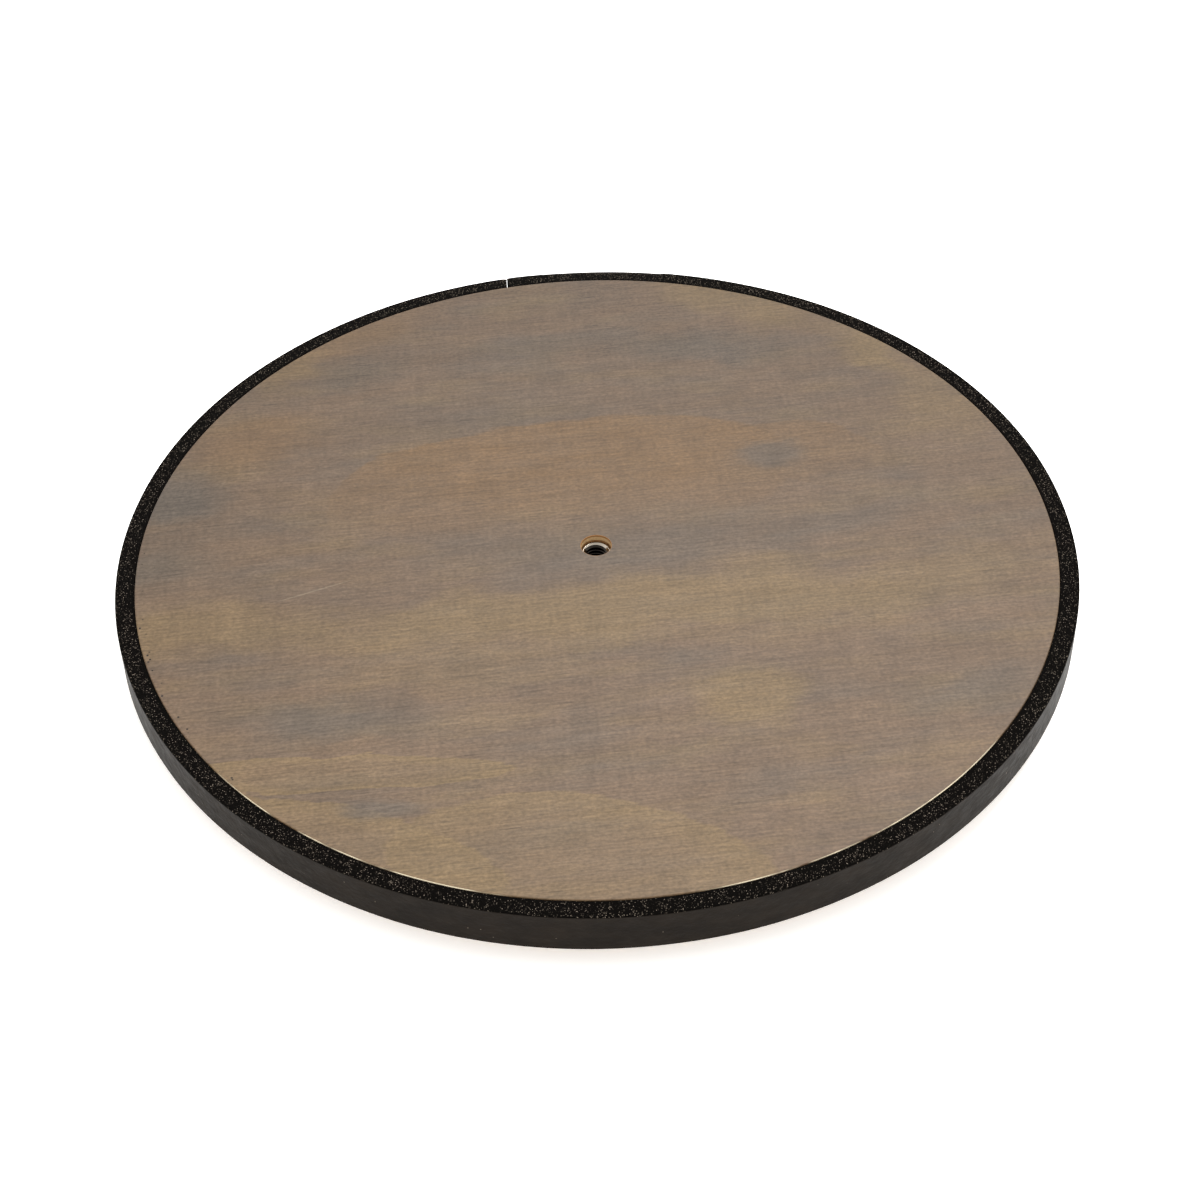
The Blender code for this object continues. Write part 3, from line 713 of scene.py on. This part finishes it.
class MakePlatter(bpy.types.Operator):
    """Makes the plywood platter, with its hole, the pocket for the nut's flange and the screws' pilot holes"""

    bl_idname = "stand.make_platter"
    bl_label = "Platter"

    def execute(self, context):
        sizes = context.scene.stand_platter
        nut = context.scene.stand_nut
        screw = context.scene.stand_fasteners
        gap = 0.25 * MM  # round what is let into the wood
        pocket = NUT_FLANGE + gap
        pocket_top = NUT_LOW + nut.flange + gap
        corners = [
            (PLATTER_HOLE, PLATTER_TOP, 0.12 * MM),
            (PLATTER_RADIUS, PLATTER_TOP, sizes.arris),
            (PLATTER_RADIUS, PLATTER_BOTTOM, sizes.arris),
            (pocket, PLATTER_BOTTOM, 0.15 * MM),
            (pocket, pocket_top, 0.0),
            (PLATTER_HOLE, pocket_top, 0.0),
        ]
        outline = rounded(corners)
        platter = turned(outline, 256)
        hole = screw.screw_thread / 2 + 0.1 * MM
        pilot = rod(hole, PLATTER_BOTTOM - 1 * MM, SCREW_TIP + gap, 24)
        platter = boolean(platter, scattered(pilot, spots("platter_screw_")))
        platter = boolean(platter, scattered(prong(nut, gap), prong_places()))
        for face in platter.faces:
            centre = face.calc_center_median()
            if centre.z > PLATTER_TOP - sizes.arris and centre.xy.length > PLATTER_HOLE + 0.1 * MM:
                face.material_index = 0
            elif centre.z < PLATTER_BOTTOM + sizes.arris:
                face.material_index = 1
            else:
                face.material_index = 2
        materials = [stained_birch_veneer(sizes), raw_birch_veneer(sizes), birch_ply_edge(sizes)]
        make_piece(platter, "plywood_platter", "platter", "platter", materials)
        return {"FINISHED"}


def band_ends():
    """The angles of the band's two ends, either side of its butt joint."""
    angles = []
    for face in NODES["edge_band"].data.polygons:
        outwards = Vector((face.center.x, face.center.y, 0.0)).normalized()
        if abs(face.normal.z) < 0.1 and abs(face.normal.dot(outwards)) < 0.1:
            angles.append(math.atan2(face.center.y, face.center.x))
    return min(angles), max(angles)


# Degrees round the band at which the trimming cut starts to sink, is lowest, starts to rise and is level.
DIP_SINKS, DIP_LOWEST, DIP_RISES, DIP_ENDS = 79.0, 81.5, 88.0, 100.5
CUT_GRAIN, CUT_WANDER, SQUEEZE = in_mm(0.9, 28, 45)  # lengths of the band's unevenness
END_SLACK = 1e-4  # radians that a point of the strip's first end may lie short of it


class MakeEdgeBand(bpy.types.Operator):
    """Makes the foam edge band, open at its butt joint and a little uneven, as a hand-trimmed strip is"""

    bl_idname = "stand.make_edge_band"
    bl_label = "Edge band"

    def execute(self, context):
        sizes = context.scene.stand_band
        low_end, high_end = band_ends()
        small = 0.15 * MM  # rounding next to the wood
        corners = [
            (BAND_INNER, PLATTER_TOP, small),
            (BAND_OUTER, PLATTER_TOP, sizes.rounding),
            (BAND_OUTER, PLATTER_BOTTOM, sizes.rounding),
            (BAND_INNER, PLATTER_BOTTOM, small),
        ]
        outline = rounded(corners, 3)
        sweep = FULL_TURN - (high_end - low_end)
        fine = divided(outline, 1.6 * MM)
        band = turned(fine, 1280, sweep=sweep, start=high_end, sectors=32)
        half = (PLATTER_TOP - PLATTER_BOTTOM) / 2
        level = PLATTER_BOTTOM + half
        width = BAND_OUTER - BAND_INNER
        for point in band.verts:
            spot = point.co.copy()
            reach = math.hypot(spot.x, spot.y)
            across = max(0.0, (reach - BAND_INNER) / width)
            up = (spot.z - level) / half
            along = (math.atan2(spot.y, spot.x) - high_end + END_SLACK) % FULL_TURN - END_SLACK
            degrees = math.degrees(along + high_end) % 360
            from_high_end = along * reach
            from_low_end = (sweep - along) * reach
            # The cut faces are grainy, and the cut wanders slowly.
            grain = 0.5 + 0.5 * noise.noise(spot / CUT_GRAIN)
            slow = 0.5 + 0.5 * noise.noise(Vector((spot.x, spot.y, 0.0)) / CUT_WANDER)
            face = max(0.0, (abs(up) - 0.9) / 0.1)  # 1 on the cut faces, 0 on the walls
            lower = face * sizes.ripple * (0.7 * grain + slow)
            if up > 0:
                # At the back the blade ran low towards the outside.
                dipped = smooth(degrees, DIP_SINKS, DIP_LOWEST) * (1 - smooth(degrees, DIP_RISES, DIP_ENDS))
                lower += face * sizes.dip * dipped * across**1.5
                # The end of the strip beside the joint is worn down at its outer corner.
                lower += face * 0.4 * MM * across**4 * math.exp(-from_high_end / (0.6 * MM))
            point.co.z -= math.copysign(lower, up)
            # The outer wall is squeezed in here and there, and the two ends draw back a little.
            wave = 0.5 + 0.5 * noise.noise(Vector((spot.x, spot.y, spot.z * 3)) / SQUEEZE)
            drawn = 0.2 * math.exp(-from_high_end / (1.2 * MM)) + 0.08 * math.exp(-from_low_end / (2 * MM))
            inwards = across * (sizes.wave * wave + drawn * MM)
            point.co.x -= spot.x / reach * inwards
            point.co.y -= spot.y / reach * inwards
            # One end was cut a little askew, so that the joint is no wider outside than inside.
            askew = -sizes.askew * across * math.exp(-from_high_end / (3 * MM)) / reach
            point.co.xy = Matrix.Rotation(askew, 2) @ point.co.xy
        outer = BAND_OUTER - sizes.rounding - sizes.wave
        for face in band.faces:
            centre = face.calc_center_median()
            skin = abs(centre.z - level) < half - 0.6 * sizes.rounding and centre.xy.length > outer
            face.material_index = 1 if skin else 0
        materials = [cut_foam(sizes), foam_skin(sizes)]
        piece = make_piece(band, "foam_edge_band", "edge_band", "platter", materials, 60)
        return {"FINISHED"}


def smooth(value, low, high):
    """A smooth step from 0 at low to 1 at high."""
    share = min(1.0, max(0.0, (value - low) / (high - low)))
    return share * share * (3 - 2 * share)


def prong_places():
    """The four prongs stand half way between the axes."""
    return [Matrix.Rotation(math.radians(45 + 90 * number), 4, "Z") for number in range(4)]


def prong(nut, gap=0.0):
    """One prong of the nut, standing on its flange and drawn in to a point; a gap makes it a slot's cutter."""
    thick, wide, root, inset = in_mm(1.2, 3.2, 0.7, 0.5)  # root: how deep it stands in the flange
    foot = NUT_LOW + nut.flange - root - (2 * gap if gap else 0.0)
    top = NUT_LOW + nut.flange + nut.prong + gap
    reach = NUT_FLANGE - inset - thick / 2
    shape = block((thick + 2 * gap, wide + 2 * gap, top - foot), (reach, 0, (top + foot) / 2))
    upright = [edge for edge in shape.edges if abs(edge.verts[0].co.z - edge.verts[1].co.z) > TINY]
    bmesh.ops.subdivide_edges(shape, edges=upright, cuts=3)
    for point in shape.verts:
        climb = (point.co.z - foot) / (top - foot)
        point.co.y *= 1.0 - 0.8 * max(0.0, climb - 0.5) / 0.5
    return shape


class MakeTeeNut(bpy.types.Operator):
    """Makes the threaded nut: a flange with four prongs, and a barrel with a cut thread"""

    bl_idname = "stand.make_tee_nut"
    bl_label = "Tee nut"

    def execute(self, context):
        sizes = context.scene.stand_nut
        barrel = PLATTER_HOLE - sizes.side_gap
        shoulder = NUT_LOW + sizes.flange
        major = sizes.major / 2
        lead = major - NUT_BORE
        mouth = major + 0.35 * MM
        wiped = 0.55 * MM  # how far down the bore stays bright zinc before the painted shade begins
        corners = [
            (NUT_BORE, NUT_HIGH - (mouth - NUT_BORE), 0.0),
            (mouth, NUT_HIGH, 0.15 * MM),
            (barrel, NUT_HIGH, 0.25 * MM),
            (barrel, shoulder, 0.3 * MM),
            (NUT_FLANGE, shoulder, 0.3 * MM),
            (NUT_FLANGE, NUT_LOW, 0.2 * MM),
            (major + 0.1 * MM, NUT_LOW, 0.15 * MM),
            (NUT_BORE, NUT_LOW + lead, 0.0),
        ]
        outline = rounded(corners)
        nut = turned(outline, 96)
        nut = boolean(nut, self.tap(sizes, major))
        nut = boolean(nut, scattered(prong(sizes), prong_places()), "UNION")
        # Each prong was bent up out of the flange's rim and left a shallow notch there.
        notch = block(in_mm(2.0, 3.8, 6.0), (NUT_FLANGE + 0.45 * MM, 0.0, NUT_LOW))
        nut = boolean(nut, scattered(notch, prong_places()))
        # Painted shade: the bore below the bright mouth gets the darker copy of the zinc.
        for face in nut.faces:
            centre = face.calc_center_median()
            deep = NUT_LOW + lead < centre.z < NUT_HIGH - wiped
            face.material_index = int(deep and centre.xy.length < major + 0.05 * MM)
        materials = [
            # Fresh plating: warm, bright and nearly a mirror, so that the rim catches the light.
            metal("bright_zinc_plate", sizes.zinc[:], 0.16, 0.004),
            # Painted shade: a darker copy of the zinc on the bore's wall, where shade falls inside the hole, so
            # that only the crests of the thread shine.
            metal("painted_shade_zinc_thread", sizes.bore_shade[:], 0.14, 0.004),
        ]
        make_piece(nut, "tee_nut_threaded", "tee_nut", "platter", materials)
        return {"FINISHED"}

    def tap(self, sizes, major):
        """The cutter for a 60 degree thread, which stands out of the bore's wall from a core inside it."""
        crest = sizes.pitch / 8
        core = NUT_BORE - 0.2 * MM
        flank = (major - core) * math.tan(math.radians(30))
        root = (sizes.pitch - crest) / 2 - flank
        outline = [
            (core, 0.0),
            (core, root),
            (major, root + flank),
            (major, root + flank + crest),
            (core, sizes.pitch - root),
            (core, sizes.pitch),
        ]
        low, high = NUT_LOW - 1 * MM, NUT_HIGH + 1 * MM
        turns = math.ceil((high - low) / sizes.pitch) + 2
        tap = coiled(outline, sizes.pitch, turns, 48, False)
        tap.transform(Matrix.Translation((0, 0, low - 1.2 * sizes.pitch)))
        for height, side in ((low, -1), (high, 1)):
            everything = list(tap.verts) + list(tap.edges) + list(tap.faces)
            plane = {"plane_co": (0, 0, height), "plane_no": (0, 0, side)}
            bmesh.ops.bisect_plane(tap, geom=everything, dist=TINY, clear_outer=True, **plane)
        close_ends(tap)
        return tap


class MakeBearingRings(bpy.types.Operator):
    """Makes the bearing's outer ring and the two halves of its inner ring, with races, recesses and holes"""

    bl_idname = "stand.make_bearing_rings"
    bl_label = "Bearing rings"

    def execute(self, context):
        sizes = context.scene.stand_bearing
        fasteners = context.scene.stand_fasteners
        # Cool and pale, with the lathe's fine rings in a soft gloss.
        aluminium = metal("turned_aluminium", sizes.aluminium[:], 0.3, 0.012, 0.12)
        edge, lip = sizes.edge, 0.15 * MM
        depth = race_depth("bearing_outer_ring", OUTER_BORE)
        corners = [
            (OUTER_BORE, OUTER_TOP, lip),
            (OUTER_RIM, OUTER_TOP, edge),
            (OUTER_RIM, OUTER_BOTTOM, edge),
            (OUTER_BORE, OUTER_BOTTOM, edge),
            (OUTER_BORE, BALL_HEIGHT - depth, lip),
            (OUTER_BORE + depth, BALL_HEIGHT, lip),
            (OUTER_BORE, BALL_HEIGHT + depth, lip),
        ]
        outer = turned(rounded(corners), 192)
        gap = 0.15 * MM  # round what is let into a ring
        seat = rod(radius_of("rubber_pad_01") + gap, 0, PAD_TOP + gap, 48)
        outer = boolean(outer, scattered(seat, spots("rubber_pad_")))
        make_piece(outer, "outer_ring_turned", "bearing_outer_ring", "base", [aluminium])

        half_gap = UPPER_SPLIT - BALL_HEIGHT
        vee = INNER_RIM - depth + half_gap
        corners = [
            (INNER_BORE, INNER_TOP, edge),
            (INNER_RIM, INNER_TOP, lip),
            (INNER_RIM, BALL_HEIGHT + depth, lip),
            (vee, UPPER_SPLIT, lip),
            (INNER_BORE, UPPER_SPLIT, lip),
        ]
        upper = turned(rounded(corners), 192)
        corners = [
            (INNER_BORE, LOWER_SPLIT, lip),
            (vee, LOWER_SPLIT, lip),
            (INNER_RIM, BALL_HEIGHT - depth, lip),
            (INNER_RIM, INNER_BOTTOM, lip),
            (INNER_BORE, INNER_BOTTOM, edge),
        ]
        lower = turned(rounded(corners), 192)
        screw = fasteners.screw_thread / 2 + gap
        screw_sink = fasteners.screw_head / 2 + gap
        rivet = fasteners.rivet / 2 + gap
        rivet_sink = fasteners.rivet_head / 2 + gap
        for stem, shank, sink, low_end, high_end in (
            ("platter_screw_", screw, screw_sink, True, False),
            ("ring_rivet_", rivet, rivet_sink, True, True),
        ):
            below = sunk_hole(shank, sink, INNER_BOTTOM, BALL_HEIGHT, low_end)
            above = sunk_hole(shank, sink, INNER_TOP, BALL_HEIGHT, high_end)
            lower = boolean(lower, scattered(below, spots(stem)))
            upper = boolean(upper, scattered(above, spots(stem)))
        for ring, name, node in (
            (upper, "inner_ring_upper_turned", "bearing_inner_ring_upper"),
            (lower, "inner_ring_lower_turned", "bearing_inner_ring_lower"),
        ):
            make_piece(ring, name, node, "platter", [aluminium])
        return {"FINISHED"}


def radius_of(node):
    """Half the width of a small round node that stands off the turning axis."""
    low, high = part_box(node)
    return (high.x - low.x) / 2


def sunk_hole(shank, sink, face, end, countersunk):
    """The cutter for a hole from a face to an end height, with a 90 degree countersink if it has one."""
    way = 1 if end > face else -1
    outside = face - way * MM
    outline = [(0, outside), (shank, outside), (shank, end), (0, end)]
    if countersunk:
        outline[1:2] = [(sink + MM, outside), (shank, face + way * (sink - shank))]
    return turned(outline, 32, False)


class MakeBallCage(bpy.types.Operator):
    """Makes the nylon cage, with a pocket for each ball"""

    bl_idname = "stand.make_ball_cage"
    bl_label = "Ball cage"

    def execute(self, context):
        sizes = context.scene.stand_bearing
        corner = 0.2 * MM
        corners = [
            (CAGE_INNER, CAGE_TOP, corner),
            (CAGE_OUTER, CAGE_TOP, corner),
            (CAGE_OUTER, CAGE_BOTTOM, corner),
            (CAGE_INNER, CAGE_BOTTOM, corner),
        ]
        cage = turned(rounded(corners, 3), 288)
        reach = 3 * MM  # past both walls of the cage
        pocket = rod(BALL_RADIUS + 0.3 * MM, -reach, reach, 48)
        pocket.transform(Matrix.Translation((0, 0, BALL_HEIGHT)) @ Matrix.Rotation(math.pi / 2, 4, "Y"))
        cage = boolean(cage, scattered(pocket, spots("ball_0") + spots("ball_1") + spots("ball_2")))
        # Milky and a little translucent.
        material = moulded("natural_nylon", sizes.nylon[:], 0.45, 0.25)
        make_piece(cage, "nylon_cage", "ball_cage", "cage", [material])
        return {"FINISHED"}


class MakeBalls(bpy.types.Operator):
    """Makes the bearing balls"""

    bl_idname = "stand.make_balls"
    bl_label = "Balls"

    def execute(self, context):
        ball = bmesh.new()
        lifted = Matrix.Translation((0, 0, BALL_HEIGHT))
        bmesh.ops.create_icosphere(ball, subdivisions=4, radius=BALL_RADIUS, matrix=lifted)
        # Ground and polished: a dark, sharp mirror.
        steel = metal("polished_chrome_steel", context.scene.stand_bearing.steel[:], 0.08, 0.001)
        make_copies(ball, "ball_", "steel_ball", "cage", steel, 60)
        return {"FINISHED"}


class MakePlatterScrews(bpy.types.Operator):
    """Makes the countersunk wood screws that hold the inner ring to the platter"""

    bl_idname = "stand.make_platter_screws"
    bl_label = "Platter screws"

    def execute(self, context):
        sizes = context.scene.stand_fasteners
        core, crest, head = sizes.screw_core / 2, sizes.screw_thread / 2, sizes.screw_head / 2
        rim = 0.25 * MM
        neck = SCREW_HEAD + rim + head - core
        point = SCREW_TIP - sizes.screw_point
        tip = 0.3 * MM
        outline = [
            (0, SCREW_HEAD),
            (head - 0.1 * MM, SCREW_HEAD),
            (head, SCREW_HEAD + 0.1 * MM),
            (head, SCREW_HEAD + rim),
            (core, neck),
            (core, point),
            (tip, SCREW_TIP - 0.2 * MM),
            (0, SCREW_TIP),
        ]
        screw = turned(outline, 48, False)
        screw = boolean(screw, self.thread(sizes, core, crest, neck, point), "UNION")
        arm, depth = in_mm(1.0, 3.4)
        for turn in (0.0, math.pi / 2):
            slot = block((sizes.recess, arm, depth), (0, 0, SCREW_HEAD))
            for corner in slot.verts:
                if corner.co.z > SCREW_HEAD:
                    corner.co.x *= 0.45
                    corner.co.y *= 0.6
            slot.transform(Matrix.Rotation(turn, 4, "Z"))
            screw = boolean(screw, slot)
        # Barrel-plated: the nut's colour, with a duller and slightly dimpled gloss.
        zinc = metal("zinc_plated_screw", context.scene.stand_nut.zinc[:], 0.28, 0.008)
        make_copies(screw, "platter_screw_", "wood_screw", "platter", zinc)
        return {"FINISHED"}

    def thread(self, sizes, core, crest, neck, point):
        """A sharp ridge that winds up the shank and closes in on the point."""
        inside = core - 0.3 * MM
        base = 0.32 * MM
        outline = [(inside, -base), (crest, -0.05 * MM), (crest, 0.05 * MM), (inside, base)]
        start = neck + 0.5 * MM
        turns = math.floor((SCREW_TIP - 0.8 * MM - start) / sizes.screw_pitch)
        ridge = coiled(outline, sizes.screw_pitch, turns, 32, True)
        ridge.transform(Matrix.Translation((0, 0, start)))
        for corner in ridge.verts:
            past = max(0.0, corner.co.z - point) / sizes.screw_point
            corner.co.x *= 1.0 - 0.8 * past
            corner.co.y *= 1.0 - 0.8 * past
        close_ends(ridge)
        return ridge


class MakeRingRivets(bpy.types.Operator):
    """Makes the rivets that clench the two halves of the inner ring"""

    bl_idname = "stand.make_ring_rivets"
    bl_label = "Ring rivets"

    def execute(self, context):
        sizes = context.scene.stand_fasteners
        shank, head = sizes.rivet / 2, sizes.rivet_head / 2
        cone, edge = head - shank, 0.08 * MM
        dimple = 0.15 * MM
        half = [(0, dimple), (head * 0.35, dimple * 0.8), (head * 0.5, 0)]
        half += [(head - edge, 0), (head, edge), (shank, cone)]
        outline = [(reach, RIVET_LOW + depth) for reach, depth in half]
        outline += [(reach, RIVET_HIGH - depth) for reach, depth in reversed(half)]
        rivet = turned(outline, 40, False)
        # Softer and duller than the rings, as hammered aluminium is.
        soft = metal("soft_rivet_aluminium", context.scene.stand_bearing.rivet[:], 0.4, 0.01)
        make_copies(rivet, "ring_rivet_", "flush_rivet", "platter", soft)
        return {"FINISHED"}


class MakeRubberPads(bpy.types.Operator):
    """Makes the rubber pads under the outer ring, each with a moulded groove"""

    bl_idname = "stand.make_rubber_pads"
    bl_label = "Rubber pads"

    def execute(self, context):
        radius = radius_of("rubber_pad_01")
        groove = 0.2 * MM
        corners = [
            (0, PAD_TOP, 0.0),
            (radius, PAD_TOP, 0.2 * MM),
            (radius, PAD_BOTTOM, 0.3 * MM),
            (0.62 * radius, PAD_BOTTOM, 0.08 * MM),
            (0.56 * radius, PAD_BOTTOM + groove, 0.08 * MM),
            (0.44 * radius, PAD_BOTTOM + groove, 0.08 * MM),
            (0.38 * radius, PAD_BOTTOM, 0.08 * MM),
            (0, PAD_BOTTOM, 0.0),
        ]
        outline = rounded(corners, 3)
        pad = turned(outline, 48, False)
        # Matt and almost black.
        rubber = moulded("moulded_rubber", context.scene.stand_bearing.rubber[:], 0.7)
        make_copies(pad, "rubber_pad_", "grip_pad", "base", rubber)
        return {"FINISHED"}


# Stage

SOFT_BOX_SIZE = (1.6, 1.0)
SOFT_BOX_PLACE = Vector((0.35, 1.0, 1.5))
CAMERA_LENS, CAMERA_SENSOR = 69.614, 36.0  # mm
CAMERA_HEIGHT_DEG = 41.494  # above the level of the platter
CAMERA_DISTANCE = 0.772254  # from the middle of the platter's top
CAMERA_PAN, CAMERA_TILT, CAMERA_ROLL = -0.001043, -0.023607, 0.027061  # radians off the platter's middle


class MakeStage(bpy.types.Operator):
    """Makes the white floor, the even surroundings, the soft box and the camera"""

    bl_idname = "stand.make_stage"
    bl_label = "Stage"

    def execute(self, context):
        scene = context.scene
        sizes = scene.stand_stage
        sheet = bmesh.new()
        bmesh.ops.create_grid(sheet, x_segments=8, y_segments=8, size=sizes.floor_size / 2)
        mesh = bpy.data.meshes.new("studio_floor")
        sheet.to_mesh(mesh)
        sheet.free()
        # Seamless paper: even and quite matt, lit a little from below, so that shadows on it stay pale.
        material, tree, shader, place = new_material("matt_white_floor")
        paper = mottle(tree, place, (300, 300, 300), 0.99, 1.0)
        toned = add(tree, "Mix", {**TIMES, 6: sizes.floor[:], 7: paper}).outputs[2]
        fill(tree, shader, {"Base Color": toned, "Roughness": 0.9, "Specular IOR Level": 0.1})
        fill(tree, shader, {"Emission Color": sizes.floor[:], "Emission Strength": sizes.glow})
        # Clear from below, so that the underside can be looked at.
        behind = add(tree, "NewGeometry").outputs["Backfacing"]
        clear = add(tree, "BsdfTransparent").outputs[0]
        both = add(tree, "MixShader", {0: behind, 1: shader.outputs[0], 2: clear}).outputs[0]
        fill(tree, tree.nodes["Material Output"], {"Surface": both})
        mesh.materials.append(material)
        floor = bpy.data.objects.new("studio_floor", mesh)
        scene.collection.objects.link(floor)

        world = bpy.data.worlds.new("white_surroundings")
        world.use_nodes = True
        sky = world.node_tree
        direction = add(sky, "TexCoord").outputs["Generated"]
        up = add(sky, "SeparateXYZ", {"Vector": direction}).outputs["Z"]
        run = {"From Min": 0.15, "From Max": 0.95, "To Min": sizes.walls, "To Max": sizes.ceiling, "Value": up}
        strength = add(sky, "MapRange", run).outputs["Result"]
        fill(sky, sky.nodes["Background"], {"Color": (1.0, 1.0, 1.0, 1.0), "Strength": strength})
        scene.world = world
        scene.view_settings.view_transform = "Standard"

        lamp = bpy.data.lights.new("soft_box", "AREA")
        lamp.shape = "RECTANGLE"
        lamp.size, lamp.size_y = SOFT_BOX_SIZE
        lamp.energy = sizes.key
        soft_box = bpy.data.objects.new("soft_box", lamp)
        soft_box.location = SOFT_BOX_PLACE
        soft_box.rotation_euler = (-soft_box.location).to_track_quat("-Z", "Y").to_euler()
        scene.collection.objects.link(soft_box)

        lens = bpy.data.cameras.new("camera")
        lens.lens = CAMERA_LENS
        lens.sensor_width = CAMERA_SENSOR
        lens.dof.use_dof = False
        camera = bpy.data.objects.new("camera", lens)
        height = math.radians(CAMERA_HEIGHT_DEG)
        back, up = CAMERA_DISTANCE * math.cos(height), CAMERA_DISTANCE * math.sin(height)
        place = Vector((0, -back, PLATTER_TOP + up))
        camera.matrix_world = (
            Matrix.Translation(place)
            @ Matrix.Rotation(math.pi / 2 - height, 4, "X")
            @ Matrix.Rotation(CAMERA_PAN, 4, "Y")
            @ Matrix.Rotation(CAMERA_TILT, 4, "X")
            @ Matrix.Rotation(-CAMERA_ROLL, 4, "Z")
        )
        scene.collection.objects.link(camera)
        scene.camera = camera
        return {"FINISHED"}


# Panel and registration

MAKERS = (
    MakePlatter,
    MakeEdgeBand,
    MakeTeeNut,
    MakeBearingRings,
    MakeBallCage,
    MakeBalls,
    MakePlatterScrews,
    MakeRingRivets,
    MakeRubberPads,
    MakeStage,
)


class StandPanel(bpy.types.Panel):
    """Lists the settings and the pieces of the display stand"""

    bl_idname = "VIEW3D_PT_display_stand"
    bl_label = "Display stand"
    bl_space_type = "VIEW_3D"
    bl_region_type = "UI"
    bl_category = "Display stand"

    def draw(self, context):
        for name, group in GROUPS.items():
            box = self.layout.box()
            for setting in group.__annotations__:
                box.prop(getattr(context.scene, name), setting)
        for maker in MAKERS:
            self.layout.operator(maker.bl_idname)


def register():
    for cls in (*GROUPS.values(), *MAKERS, StandPanel):
        bpy.utils.register_class(cls)
    for name, group in GROUPS.items():
        setattr(bpy.types.Scene, name, PointerProperty(type=group))


def unregister():
    for name in GROUPS:
        delattr(bpy.types.Scene, name)
    for cls in reversed((*GROUPS.values(), *MAKERS, StandPanel)):
        bpy.utils.unregister_class(cls)


def main():
    register()
    for maker in MAKERS:
        family, action = maker.bl_idname.split(".")
        getattr(getattr(bpy.ops, family), action)()
    bpy.context.view_layer.update()


if __name__ == "__main__":
    main()
